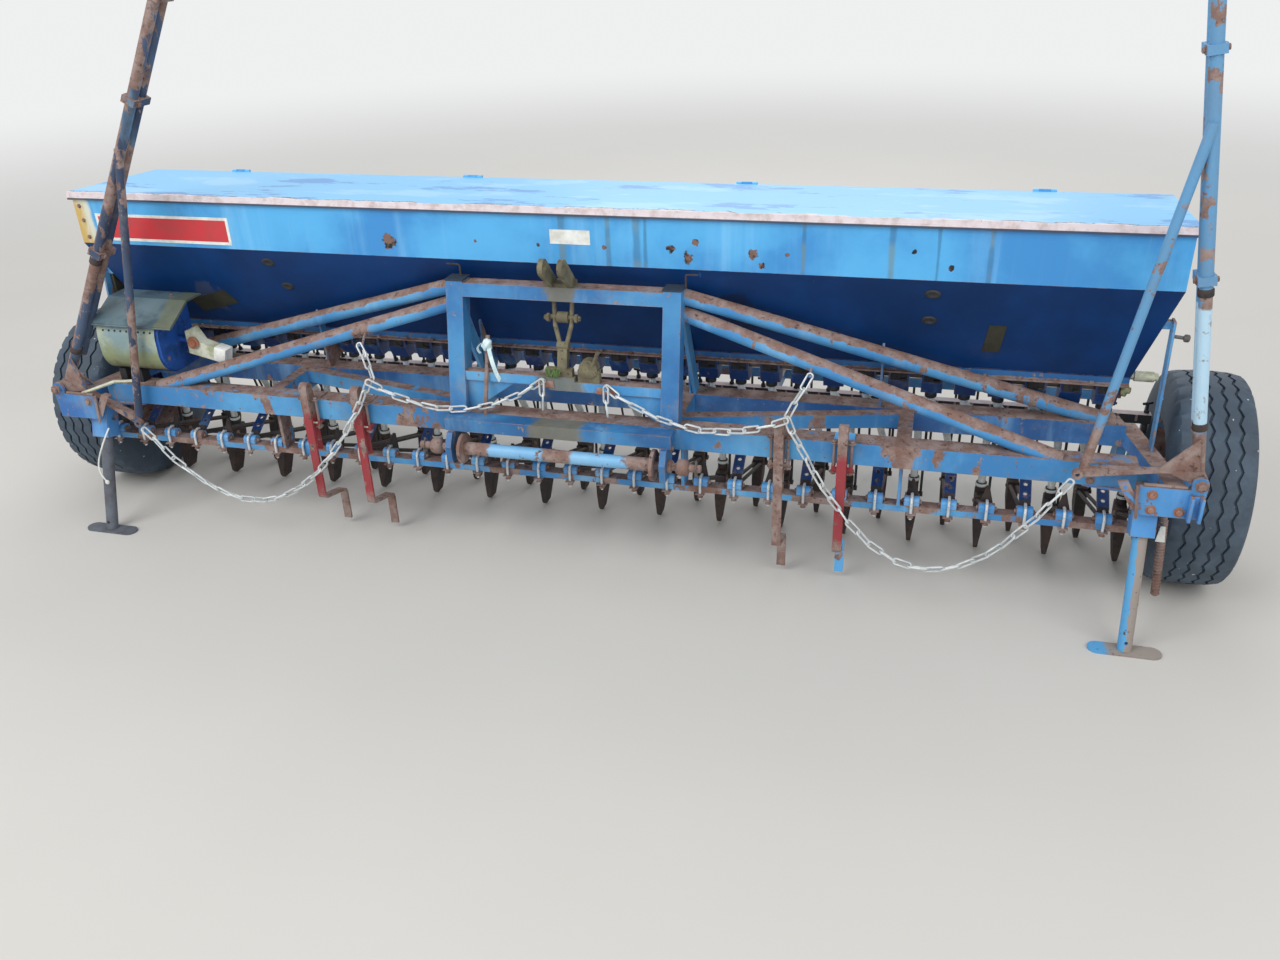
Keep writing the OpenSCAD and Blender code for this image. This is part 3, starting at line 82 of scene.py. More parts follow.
# Colours
FRAME_BLUE = srgb(86, 158, 208)
FRAME_BLUE_DEEP = srgb(54, 124, 182)
CLAMP_BLUE = srgb(96, 172, 228)
PALE_BLUE = srgb(150, 196, 226)
# Band blues: the band's paint brightened as painted sky reflection
SKY_LIT_BAND_BLUE = srgb(84, 174, 230)
SKY_LIT_BAND_BLUE_DEEP = srgb(58, 140, 206)
# Painted sky reflection, laid as pale streaks on the band
SKY_REFLECTION_BLUE = srgb(160, 218, 250)
LID_BLUE = srgb(104, 186, 236)
LID_BLUE_DEEP = srgb(58, 142, 210)
# Navy and its deeper tone; on the hopper's sloping panel both stand as painted shade
NAVY_AND_PANEL_SHADE = srgb(13, 62, 122)
PANEL_SHADE_NAVY_DEEP = srgb(9, 47, 95)
RUST = srgb(124, 96, 86)
RUST_PINK = srgb(150, 132, 126)
RUST_DARK = srgb(78, 56, 48)
RUST_ORANGE = srgb(160, 98, 66)
PRIMER = srgb(222, 212, 216)
EARTH = srgb(112, 104, 84)
MOSS = srgb(128, 134, 84)
CREAM = srgb(214, 216, 198)
OCHRE = srgb(200, 168, 92)
GREASE = srgb(96, 90, 72)
KHAKI = srgb(128, 122, 96)
ZINC = srgb(216, 220, 220)
STEEL = srgb(120, 118, 114)
SOOT = srgb(30, 31, 35)
RED = srgb(158, 44, 54)
SIGN_RED = srgb(204, 52, 60)
HOSE = srgb(222, 226, 222)
RUBBER = srgb(56, 70, 84)
WHITE = srgb(236, 238, 234)
DUST = srgb(148, 146, 138)


class Finish:
    """Node tree of one material, built step by step"""

    def __init__(self, name):
        self.material = bpy.data.materials.new(name)
        self.material.use_nodes = True
        self.tree = self.material.node_tree
        self.shader = self.tree.nodes["Principled BSDF"]
        self.coordinates = self.tree.nodes.new("ShaderNodeTexCoord")
        self.geometry = self.tree.nodes.new("ShaderNodeNewGeometry")

    def link(self, start, end):
        self.tree.links.new(start, end)

    def put(self, socket, value):
        """Sets a socket to a number, a colour or another node's output"""
        if isinstance(value, bpy.types.NodeSocket):
            self.link(value, socket)
        else:
            socket.default_value = value

    def sum(self, kind, first, second=0.0, third=0.0):
        node = self.tree.nodes.new("ShaderNodeMath")
        node.operation = kind
        for socket, value in zip(node.inputs, (first, second, third)):
            self.put(socket, value)
        return node.outputs[0]

    def most(self, *shares):
        """The largest of several shares"""
        whole = shares[0]
        for share in shares[1:]:
            whole = self.sum("MAXIMUM", whole, share)
        return whole

    def part(self, axis, source="Object"):
        """One coordinate of the place, or of the normal where source says so"""
        node = self.tree.nodes.new("ShaderNodeSeparateXYZ")
        self.link(self.coordinates.outputs[source], node.inputs[0])
        return node.outputs[axis]

    def noise(self, scale, detail=4.0, roughness=0.55, stretch=(1, 1, 1)):
        mapping = self.tree.nodes.new("ShaderNodeMapping")
        mapping.inputs["Scale"].default_value = stretch
        self.link(self.coordinates.outputs["Object"], mapping.inputs["Vector"])
        node = self.tree.nodes.new("ShaderNodeTexNoise")
        node.inputs["Scale"].default_value = scale
        node.inputs["Detail"].default_value = detail
        node.inputs["Roughness"].default_value = roughness
        self.link(mapping.outputs[0], node.inputs["Vector"])
        return node.outputs["Fac"]

    def step(self, value, low, high):
        """0 below low, 1 above high, and smooth between them"""
        node = self.tree.nodes.new("ShaderNodeMapRange")
        node.interpolation_type = "SMOOTHSTEP"
        node.inputs["From Min"].default_value = low
        node.inputs["From Max"].default_value = high
        self.put(node.inputs["Value"], value)
        return node.outputs["Result"]

    def blend(self, share, first, second):
        node = self.tree.nodes.new("ShaderNodeMix")
        node.data_type = "RGBA"
        self.put(node.inputs["Factor"], share)
        self.put(node.inputs[6], first)
        self.put(node.inputs[7], second)
        return node.outputs[2]

    def level(self, share, first, second):
        """Number that goes from first to second with share"""
        return self.sum("MULTIPLY_ADD", share, second - first, first)

    def ragged(self, value, noise, reach):
        """Value moved up and down by a noise"""
        return self.sum("ADD", value, self.sum("MULTIPLY_ADD", noise, reach, -reach / 2))

    def edges(self, width):
        """1 on edges that are sharper than their surroundings within width"""
        bevel = self.tree.nodes.new("ShaderNodeBevel")
        bevel.samples = 4
        bevel.inputs["Radius"].default_value = width
        dot = self.tree.nodes.new("ShaderNodeVectorMath")
        dot.operation = "DOT_PRODUCT"
        self.link(bevel.outputs[0], dot.inputs[0])
        self.link(self.geometry.outputs["Normal"], dot.inputs[1])
        return self.step(self.sum("SUBTRACT", 1.0, dot.outputs["Value"]), 0.005, 0.09)

    def spot(self, x, z, radius, noise):
        """Ragged spot round a place in the XZ plane"""
        across = self.sum("SUBTRACT", self.part("X"), x)
        up = self.sum("SUBTRACT", self.part("Z"), z)
        gap = self.sum("SQRT", self.sum("ADD", self.sum("MULTIPLY", across, across),
                                        self.sum("MULTIPLY", up, up)))
        return self.step(self.ragged(gap, noise, radius * 2.2), radius, radius * 0.75)

    def streak(self, x, width, noise):
        """Ragged upright streak at one place across the drill"""
        gap = self.sum("ABSOLUTE", self.sum("SUBTRACT", self.part("X"), x))
        return self.step(self.ragged(gap, noise, width * 2.0), width, width * 0.3)

    def finish(self, colour, roughness, height=None, depth=0.001, metallic=0.0):
        self.put(self.shader.inputs["Base Color"], colour)
        self.put(self.shader.inputs["Roughness"], roughness)
        self.put(self.shader.inputs["Metallic"], metallic)
        if height is not None:
            bump = self.tree.nodes.new("ShaderNodeBump")
            bump.inputs["Distance"].default_value = depth
            bump.inputs["Strength"].default_value = 0.8
            self.link(height, bump.inputs["Height"])
            self.link(bump.outputs[0], self.shader.inputs["Normal"])
        return self.material


def rust_colour(finish):
    """Pinkish brown rust with darker spots"""
    ground = finish.blend(finish.step(finish.noise(18, 6, 0.68), 0.38, 0.64), RUST, RUST_PINK)
    return finish.blend(finish.step(finish.noise(52, 5, 0.7), 0.55, 0.68), ground, RUST_DARK)


def greasy_patch(finish, colour, half):
    """Khaki film of old grease round the middle of the drill"""
    reach = finish.sum("SUBTRACT", half, finish.sum("ABSOLUTE", finish.part("X")))
    share = finish.step(finish.ragged(reach, finish.noise(14, 6, 0.65), 0.14), 0.0, 0.03)
    film = finish.blend(finish.noise(24, 5), GREASE, KHAKI)
    return finish.blend(finish.sum("MULTIPLY", share, 0.85), colour, film)


def worn_paint(name, paint, deep, top=0.75, face=0.3, gloss=0.45, grease=0.0, cap=None):
    """Paint rusted through where its upward lean passes top, in patches, at edges and in spots"""
    finish = Finish(name)
    colour = finish.blend(finish.step(finish.noise(2.3, 5, 0.6), 0.4, 0.62), deep, paint)
    runs = finish.step(finish.noise(8, 5, 0.6, (1, 1, 0.14)), 0.52, 0.72)
    colour = finish.blend(finish.sum("MULTIPLY", runs, 0.35), colour, PALE_BLUE)
    dirt = finish.step(finish.noise(5, 7, 0.68), 0.52, 0.74)
    colour = finish.blend(finish.sum("MULTIPLY", dirt, 0.4), colour, DUST)
    wear = finish.noise(15, 8, 0.68)
    above = finish.step(finish.ragged(finish.part("Z", "Normal"), wear, 1.5), top, top + 0.16)
    patches = finish.step(finish.noise(5.2, 8, 0.62, (1, 1, 0.5)), 0.72 - 0.24 * face, 0.735 - 0.24 * face)
    rim = finish.step(finish.ragged(finish.edges(0.005), wear, 2.4), 0.82, 0.9)
    dots = finish.step(finish.noise(58, 4, 0.6), 0.67, 0.7)
    chips = finish.step(finish.noise(19, 7, 0.66, (1, 1, 0.7)), 0.66 - 0.06 * face, 0.675 - 0.06 * face)
    bare = finish.most(above, patches, rim, dots, chips)
    colour = finish.blend(bare, colour, rust_colour(finish))
    if grease:
        colour = greasy_patch(finish, colour, grease)
    if cap:
        colour = finish.blend(finish.sum("GREATER_THAN", finish.part("Z"), cap), colour, srgb(38, 50, 66))
    grain = finish.sum("MULTIPLY", finish.noise(170, 4, 0.7), finish.level(bare, 0.1, 0.9))
    height = finish.sum("SUBTRACT", grain, finish.sum("MULTIPLY", bare, 0.5))
    return finish.finish(colour, finish.level(bare, gloss, 0.82), height, 0.0008)


def rusty_metal(name, ground, second, dark, scale=11, grain=150):
    """Bare rusty or greasy metal"""
    finish = Finish(name)
    colour = finish.blend(finish.step(finish.noise(scale, 6, 0.65), 0.36, 0.64), ground, second)
    colour = finish.blend(finish.step(finish.noise(scale * 4, 5, 0.7), 0.54, 0.7), colour, dark)
    return finish.finish(colour, finish.level(finish.noise(30, 3), 0.6, 0.95),
                         finish.noise(grain, 6, 0.75), 0.001)


def plain_finish(name, first, second, scale, low, high, metallic=0.0, grain=120):
    finish = Finish(name)
    colour = finish.blend(finish.step(finish.noise(scale, 6, 0.65), 0.36, 0.7), first, second)
    roughness = finish.level(finish.noise(scale * 1.7, 4), low, high)
    return finish.finish(colour, roughness, finish.noise(grain, 4, 0.7), 0.0005, metallic)


# Places of the band's rusty dents (x, height, radius) and of its dark runs (x, half width)
BAND_SPOTS = ((-0.329, 1.205, 0.008), (-0.092, 1.2, 0.008), (0.148, 1.199, 0.009), (0.385, 1.205, 0.016),
              (0.469, 1.228, 0.014), (0.666, 1.199, 0.018), (0.697, 1.158, 0.013), (0.779, 1.2, 0.007),
              (1.303, 1.18, 0.011), (1.187, 1.227, 0.01), (-0.663, 1.192, 0.03), (0.444, 1.176, 0.024))
BAND_RUNS = ((-0.003, 0.018), (0.164, 0.011), (0.264, 0.02), (0.295, 0.009), (0.833, 0.008),
             (1.116, 0.014), (1.261, 0.009), (1.421, 0.01))


def hopper_band_sky_lit_paint():
    """Light blue lifted by painted sky reflection, with painted reflection streaks, dark runs, dents, a yellowed
    left end and a painted shadow line along the front flange
    """
    finish = Finish("hopper_band_sky_lit_paint")
    x = finish.part("X")
    # Band colour: its blue lifted as painted sky reflection
    band = finish.blend(finish.step(finish.noise(1.7, 6, 0.58), 0.4, 0.6), SKY_LIT_BAND_BLUE_DEEP, SKY_LIT_BAND_BLUE)
    # Painted sky reflection: pale upright streaks over the band
    pale = finish.step(finish.noise(10, 5, 0.6, (1, 1, 0.05)), 0.5, 0.74)
    band = finish.blend(finish.sum("MULTIPLY", pale, 0.3), band, SKY_REFLECTION_BLUE)
    edge_noise = finish.noise(17, 6, 0.6, (1, 1, 0.2))
    run = finish.most(*(finish.streak(place, width, edge_noise) for place, width in BAND_RUNS))
    stain = finish.blend(finish.step(finish.noise(7, 3), 0.42, 0.58), srgb(116, 128, 108), srgb(44, 98, 140))
    band = finish.blend(finish.sum("MULTIPLY", run, 0.55), band, stain)
    left_end = finish.step(finish.ragged(finish.sum("MULTIPLY", x, -1.0), finish.noise(9, 5), 0.05),
                           1.925, 1.94)
    yellow = finish.blend(finish.step(finish.noise(13, 5, 0.6, (1, 1, 0.2)), 0.5, 0.62), CREAM, OCHRE)
    band = finish.blend(left_end, band, yellow)
    dent_noise = finish.noise(60, 5, 0.6)
    dents = finish.most(*(finish.spot(*place, dent_noise) for place in BAND_SPOTS))
    band = finish.blend(dents, band, finish.blend(finish.step(finish.noise(45, 4), 0.42, 0.6), RUST, SOOT))
    low_edge = finish.sum("SUBTRACT", finish.part("Z"), funnel_high.z)
    chips = finish.step(finish.ragged(low_edge, finish.noise(24, 7, 0.7), 0.03), -0.004, -0.008)
    band = finish.blend(chips, band, RUST_PINK)
    # Painted shadow: dark line along the rim's front flange below the lid
    flange_shadow = finish.step(finish.sum("SUBTRACT", 0.0, finish.part("Y")), -band_low.y - 0.008, -band_low.y)
    band = finish.blend(finish.sum("MULTIPLY", flange_shadow, 0.9), band, srgb(58, 62, 76))
    height = finish.sum("SUBTRACT", finish.sum("MULTIPLY", finish.noise(1.8, 2), 5.0), dents)
    return finish.finish(band, finish.level(dents, 0.36, 0.85), height, 0.0008)


def hopper_panel_shade_paint():
    """Sloping panel darkened to navy as painted shade, with faint mud, scuffs and a painted shadow spot"""
    finish = Finish("hopper_panel_shade_paint")
    # Navy as painted shade over the whole sloping panel
    colour = finish.blend(finish.step(finish.noise(2.2, 5, 0.6), 0.35, 0.7), PANEL_SHADE_NAVY_DEEP, NAVY_AND_PANEL_SHADE)
    mud = finish.step(finish.noise(4, 7, 0.7), 0.58, 0.85)
    colour = finish.blend(finish.sum("MULTIPLY", mud, 0.2), colour, EARTH)
    rough = finish.noise(18, 6, 0.66)
    mark = finish.spot(-1.56, 0.9, 0.07, rough)
    colour = finish.blend(finish.sum("MULTIPLY", mark, 0.25), colour, EARTH)
    shadow = finish.spot(0.6, 0.95, 0.09, rough)
    colour = finish.blend(finish.sum("MULTIPLY", shadow, 0.5), colour, SOOT)
    scuffs = finish.step(finish.noise(40, 6, 0.6, (1, 0.3, 0.3)), 0.7, 0.74)
    colour = finish.blend(finish.sum("MULTIPLY", scuffs, 0.4), colour, FRAME_BLUE_DEEP)
    rim = finish.step(finish.ragged(finish.edges(0.004), finish.noise(30, 6, 0.7), 2.2), 0.85, 0.92)
    colour = finish.blend(rim, colour, RUST)
    finish.shader.inputs["Specular IOR Level"].default_value = 0.24
    height = finish.sum("MULTIPLY", finish.noise(1.8, 2), 5.0)
    return finish.finish(colour, finish.level(mud, 0.42, 0.6), height, 0.0008)


def lid_paint():
    """Peeling pale paint over a deeper blue, with bare primer along the front"""
    finish = Finish("lid_paint")
    layers = finish.noise(2.1, 8, 0.66, (1, 3.2, 1))
    colour = finish.blend(finish.step(layers, 0.405, 0.43), LID_BLUE_DEEP, LID_BLUE)
    pale = finish.step(finish.noise(2.4, 6, 0.62, (1, 2.2, 1)), 0.54, 0.62)
    colour = finish.blend(finish.sum("MULTIPLY", pale, 0.55), colour, srgb(154, 206, 238))
    front = finish.sum("SUBTRACT", finish.part("Y"), lid_low.y)
    ragged = finish.noise(6.5, 8, 0.66)
    reach = finish.sum("MULTIPLY_ADD", ragged, 0.13, -0.056)
    rim_face = finish.sum("LESS_THAN", front, 0.0015)
    rim = finish.sum("MAXIMUM", finish.sum("LESS_THAN", front, reach), rim_face)
    dark_edge = finish.sum("LESS_THAN", front, finish.sum("ADD", reach, 0.008))
    dark_edge = finish.sum("MULTIPLY", dark_edge, finish.sum("SUBTRACT", 1.0, rim_face))
    flake = finish.sum("MULTIPLY", dark_edge, finish.step(finish.noise(5, 4), 0.47, 0.5))
    primer = finish.blend(finish.step(finish.noise(22, 6, 0.7), 0.42, 0.7), PRIMER, srgb(196, 178, 178))
    colour = finish.blend(flake, colour, SOOT)
    colour = finish.blend(rim, colour, primer)
    spots = finish.step(finish.noise(16, 8, 0.7), 0.69, 0.72)
    colour = finish.blend(finish.sum("MULTIPLY", spots, 0.8), colour, RUST)
    low_line = finish.sum("MULTIPLY", rim_face, finish.step(
        finish.ragged(finish.part("Z"), finish.noise(9, 6), 0.012), LID_EDGE + 0.005, LID_EDGE))
    colour = finish.blend(finish.sum("MULTIPLY", low_line, 0.4), colour, RUST_DARK)
    height = finish.sum("SUBTRACT", finish.sum("MULTIPLY", finish.noise(1.2, 3), 9.0), rim)
    return finish.finish(colour, finish.level(rim, 0.3, 0.75), height, 0.0008)


def tyre_rubber():
    finish = Finish("tyre_rubber")
    dust = finish.step(finish.noise(6, 7, 0.7), 0.42, 0.75)
    colour = finish.blend(finish.sum("MULTIPLY", dust, 0.5), RUBBER, srgb(106, 124, 140))
    specks = finish.step(finish.noise(46, 3, 0.6), 0.71, 0.73)
    colour = finish.blend(specks, colour, srgb(206, 210, 208))
    return finish.finish(colour, finish.level(dust, 0.62, 0.9), finish.noise(120, 5, 0.7), 0.0008)


def gearbox_paint():
    """Cream sheet gone green and brown underneath, with a painted shadow along its feet and a deep blue end plate"""
    finish = Finish("gearbox_paint")
    z = finish.part("Z")
    blotch = finish.noise(9, 7, 0.68)
    colour = finish.blend(finish.step(finish.noise(7, 6, 0.65), 0.4, 0.62), srgb(168, 178, 158), srgb(126, 150, 154))
    green = finish.step(finish.ragged(z, blotch, 0.3), 0.8, 0.72)
    colour = finish.blend(finish.sum("MULTIPLY", green, 0.75), colour, MOSS)
    brown = finish.step(finish.ragged(z, finish.noise(14, 6, 0.7), 0.2), 0.71, 0.66)
    colour = finish.blend(finish.sum("MULTIPLY", brown, 0.8), colour, GREASE)
    colour = finish.blend(finish.step(finish.noise(28, 6, 0.7), 0.63, 0.68), colour, EARTH)
    # Painted shadow along the bottom, round the feet
    colour = finish.blend(finish.step(z, 0.675, 0.662), colour, SOOT)
    seam = box_high.x - 0.0605
    end_plate = finish.step(finish.part("X"), seam, seam + 0.0005)
    plate = finish.blend(finish.step(finish.noise(20, 6), 0.44, 0.64), srgb(24, 78, 158), NAVY_AND_PANEL_SHADE)
    plate = finish.blend(finish.step(finish.noise(36, 6, 0.7), 0.62, 0.66), plate, RUST)
    colour = finish.blend(end_plate, colour, plate)
    return finish.finish(colour, 0.56, finish.noise(90, 5, 0.7), 0.0009)


def gearbox_lid_paint():
    """Wet slate grey sheet with an olive right end"""
    finish = Finish("gearbox_lid_paint")
    colour = finish.blend(finish.step(finish.noise(7, 6, 0.62), 0.42, 0.6), srgb(66, 88, 98),
                          srgb(98, 120, 128))
    end = finish.step(finish.ragged(finish.part("X"), finish.noise(16, 5), 0.06), -1.645, -1.63)
    colour = finish.blend(finish.sum("MULTIPLY", end, 0.55), colour, finish.blend(finish.noise(30, 5), GREASE, MOSS))
    rim = finish.step(finish.ragged(finish.edges(0.004), finish.noise(30, 6, 0.7), 1.6), 0.6, 0.8)
    colour = finish.blend(rim, colour, SOOT)
    return finish.finish(colour, finish.level(finish.noise(6, 4), 0.22, 0.6), finish.noise(60, 4), 0.0006)


def pressure_bar_paint():
    """Dark bar with a dusty pale top and pale nicks along its lip"""
    finish = Finish("pressure_bar_paint")
    top = finish.step(finish.ragged(finish.part("Z", "Normal"), finish.noise(30, 6, 0.7), 0.8), 0.5, 0.6)
    colour = finish.blend(finish.noise(18, 5), SOOT, srgb(52, 48, 50))
    nick = finish.sum("FRACT", finish.sum("MULTIPLY", finish.part("X"), 1 / (ROW_PITCH / 2)))
    nick = finish.sum("MULTIPLY", finish.step(nick, 0.86, 0.88), finish.step(finish.part("Z"), 0.55, 0.553))
    colour = finish.blend(finish.sum("MULTIPLY", nick, 0.8), colour, RUST_PINK)
    colour = finish.blend(top, colour, finish.blend(finish.noise(25, 5), RUST_PINK, PRIMER))
    return finish.finish(colour, finish.level(top, 0.6, 0.85), finish.noise(120, 5), 0.0008)


def channel_paint():
    """Blue channel under the hopper with a rusty lower flange"""
    finish = Finish("channel_paint")
    low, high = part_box("metering_rail")
    colour = finish.blend(finish.noise(9, 5), NAVY_AND_PANEL_SHADE, FRAME_BLUE_DEEP)
    bare = finish.step(finish.ragged(finish.part("Z"), finish.noise(20, 8, 0.7), 0.018),
                       low.z + 0.012, low.z + 0.008)
    flecks = finish.step(finish.noise(24, 7, 0.68), 0.6, 0.64)
    bare = finish.sum("MAXIMUM", bare, flecks)
    colour = finish.blend(bare, colour, rust_colour(finish))
    return finish.finish(colour, finish.level(bare, 0.5, 0.88), finish.noise(140, 5), 0.0008)


def loosener_paint():
    """Spring bars with faded red left between the loop and the foot, and one bar all rust"""
    finish = Finish("loosener_paint")
    z = finish.part("Z")
    rough = finish.noise(11, 8, 0.66)
    colour = rust_colour(finish)
    left_on = finish.sum("MULTIPLY", finish.step(finish.ragged(z, rough, 0.25), 0.22, 0.26),
                         finish.step(finish.ragged(z, rough, 0.2), 0.6, 0.55))
    bare_bar = finish.step(finish.sum("ABSOLUTE", finish.sum("SUBTRACT", finish.part("X"), 0.796)),
                           0.06, 0.05)
    left_on = finish.sum("MULTIPLY", left_on, finish.sum("SUBTRACT", 1.0, bare_bar))
    flaked = finish.step(finish.noise(26, 7, 0.66), 0.6, 0.56)
    red = finish.blend(finish.noise(7, 5), RED, srgb(138, 66, 68))
    colour = finish.blend(finish.sum("MULTIPLY", left_on, flaked), colour, red)
    blue_plate = finish.sum("MULTIPLY", finish.step(finish.part("X"), 0.9, 0.91),
                            finish.step(finish.part("Y"), beam_low.y - 0.001, beam_low.y + 0.02))
    colour = finish.blend(finish.sum("MULTIPLY", blue_plate, finish.step(rough, 0.62, 0.58)), colour,
                          CLAMP_BLUE)
    return finish.finish(colour, 0.78, finish.noise(150, 6, 0.75), 0.0009)


def link_bar_paint():
    """Blue tube with rusty ends, a rusty middle and rusty discs"""
    finish = Finish("link_bar_paint")
    away = finish.sum("ABSOLUTE", finish.part("X"))
    rough = finish.noise(13, 8, 0.68)
    ends = finish.step(finish.ragged(away, rough, 0.12), 0.25, 0.27)
    middle = finish.step(finish.ragged(away, rough, 0.1), 0.07, 0.05)
    flecks = finish.step(rough, 0.62, 0.65)
    colour = finish.blend(finish.noise(6, 4), FRAME_BLUE, PALE_BLUE)
    bare = finish.most(ends, middle, flecks)
    colour = finish.blend(bare, colour, rust_colour(finish))
    return finish.finish(colour, finish.level(bare, 0.45, 0.85), finish.noise(140, 5), 0.0009)


# The right marker leans in from this place across the drill, by this share of its height
MARKER_FOOT_X = 2.105
MARKER_FOOT_Z = 0.6
RIGHT_LEAN = 0.151


def right_marker_paint():
    """Blue grey and rust, with a pale blue length above the pivot between rusty collars"""
    finish = Finish("right_marker_paint")
    z = finish.part("Z")
    rough = finish.noise(12, 8, 0.68)
    colour = finish.blend(finish.noise(5, 5), FRAME_BLUE, srgb(104, 128, 152))
    bare = finish.most(finish.step(rough, 0.54, 0.58), finish.step(finish.ragged(z, rough, 0.2), 0.78, 0.74))
    colour = finish.blend(bare, colour, rust_colour(finish))
    line = finish.sum("MULTIPLY_ADD", z, RIGHT_LEAN, -MARKER_FOOT_X - MARKER_FOOT_Z * RIGHT_LEAN)
    gap = finish.sum("ABSOLUTE", finish.sum("ADD", finish.part("X"), line))
    tube = finish.step(gap, 0.05, 0.045)
    length = finish.sum("MULTIPLY", finish.step(finish.ragged(z, rough, 0.03), 0.765, 0.772),
                        finish.step(finish.ragged(z, rough, 0.03), 1.15, 1.14))
    pale = finish.blend(finish.step(finish.noise(26, 6, 0.7), 0.6, 0.66), srgb(176, 208, 228), DUST)
    colour = finish.blend(finish.sum("MULTIPLY", tube, length), colour, pale)
    return finish.finish(colour, 0.62, finish.noise(140, 5), 0.0009)


def right_stand_paint():
    """Blue on its left side and rust on its right"""
    finish = Finish("right_stand_paint")
    turn = finish.ragged(finish.part("X", "Normal"), finish.noise(12, 7, 0.68), 1.3)
    bare = finish.step(turn, -0.3, -0.2)
    foot = finish.step(finish.ragged(finish.part("X"), finish.noise(9, 5), 0.08), 1.93, 1.9)
    low = finish.step(finish.part("Z"), 0.02, 0.015)
    bare = finish.sum("MULTIPLY", bare, finish.sum("SUBTRACT", 1.0, finish.sum("MULTIPLY", foot, low)))
    colour = finish.blend(bare, FRAME_BLUE, finish.blend(finish.noise(9, 5), RUST_PINK, DUST))
    colour = finish.blend(finish.step(finish.noise(40, 5, 0.7), 0.6, 0.66), colour, RUST_DARK)
    return finish.finish(colour, 0.7, finish.noise(130, 5), 0.0009)


frame_blue = worn_paint("frame_blue", FRAME_BLUE, FRAME_BLUE_DEEP, top=0.74, face=0.62)
rail_blue = worn_paint("rail_blue", FRAME_BLUE, FRAME_BLUE_DEEP, top=0.35, face=0.78)
rear_blue = worn_paint("rear_blue", srgb(68, 128, 186), srgb(40, 88, 146), top=0.62, face=0.42)
tube_blue = worn_paint("tube_blue", FRAME_BLUE, srgb(58, 130, 188), top=0.24, face=0.4)
post_blue = worn_paint("post_blue", srgb(68, 138, 190), srgb(44, 108, 166), top=0.62, face=0.3, grease=0.07,
                       cap=1.0735)
gusset_blue = worn_paint("gusset_blue", srgb(96, 170, 218), srgb(68, 144, 202), top=0.75, face=0.18,
                         grease=0.1)
hitch_blue = worn_paint("hitch_blue", srgb(62, 130, 182), srgb(40, 96, 148), top=1.1, face=0.34, grease=0.11)
clamp_blue = worn_paint("clamp_blue", CLAMP_BLUE, srgb(62, 136, 200), top=0.95, face=0.4)
plate_blue = worn_paint("plate_blue", srgb(78, 146, 206), srgb(44, 104, 172), top=0.55, face=0.5)
navy_paint = worn_paint("navy_paint", srgb(30, 66, 124), NAVY_AND_PANEL_SHADE, top=0.9, face=0.22)
left_marker_paint = worn_paint("left_marker_paint", srgb(70, 88, 116), srgb(48, 62, 88), top=0.1, face=0.85,
                               gloss=0.6)
disc_paint = worn_paint("disc_paint", FRAME_BLUE_DEEP, NAVY_AND_PANEL_SHADE, top=0.6, face=0.9)
rust = rusty_metal("rust", RUST, RUST_PINK, RUST_DARK)
orange_rust = rusty_metal("orange_rust", RUST_ORANGE, RUST_PINK, RUST_DARK, 24)
dark_rust = rusty_metal("dark_rust", srgb(70, 56, 50), srgb(50, 44, 44), SOOT)
greasy = rusty_metal("greasy", GREASE, KHAKI, srgb(56, 50, 40), 20)
soot = plain_finish("soot", SOOT, srgb(54, 54, 56), 18, 0.5, 0.8)
galvanised = plain_finish("galvanised", ZINC, srgb(188, 194, 196), 30, 0.35, 0.6, metallic=0.25)
bare_steel = plain_finish("bare_steel", STEEL, srgb(88, 86, 84), 22, 0.4, 0.7, metallic=0.4)
grey_steel = plain_finish("grey_steel", srgb(104, 110, 120), srgb(84, 84, 90), 12, 0.5, 0.8, metallic=0.2)
hose_plastic = plain_finish("hose_plastic", HOSE, srgb(190, 194, 190), 14, 0.4, 0.65)
white_plastic = plain_finish("white_plastic", WHITE, srgb(206, 206, 198), 20, 0.4, 0.6)
pale_tape = plain_finish("pale_tape", srgb(216, 236, 238), srgb(184, 210, 216), 26, 0.35, 0.6)
sign_red = plain_finish("sign_red", SIGN_RED, srgb(186, 62, 66), 16, 0.4, 0.6)
cream_paint = plain_finish("cream_paint", CREAM, MOSS, 13, 0.5, 0.75)
olive_paint = plain_finish("olive_paint", srgb(60, 60, 46), srgb(44, 44, 34), 20, 0.45, 0.7)
strip_primer = plain_finish("strip_primer", PRIMER, srgb(196, 178, 178), 22, 0.6, 0.8)
moss_green = plain_finish("moss_green", srgb(112, 140, 84), srgb(84, 104, 62), 40, 0.7, 0.95)
band_finish = hopper_band_sky_lit_paint()
panel_finish = hopper_panel_shade_paint()
rubber = tyre_rubber()

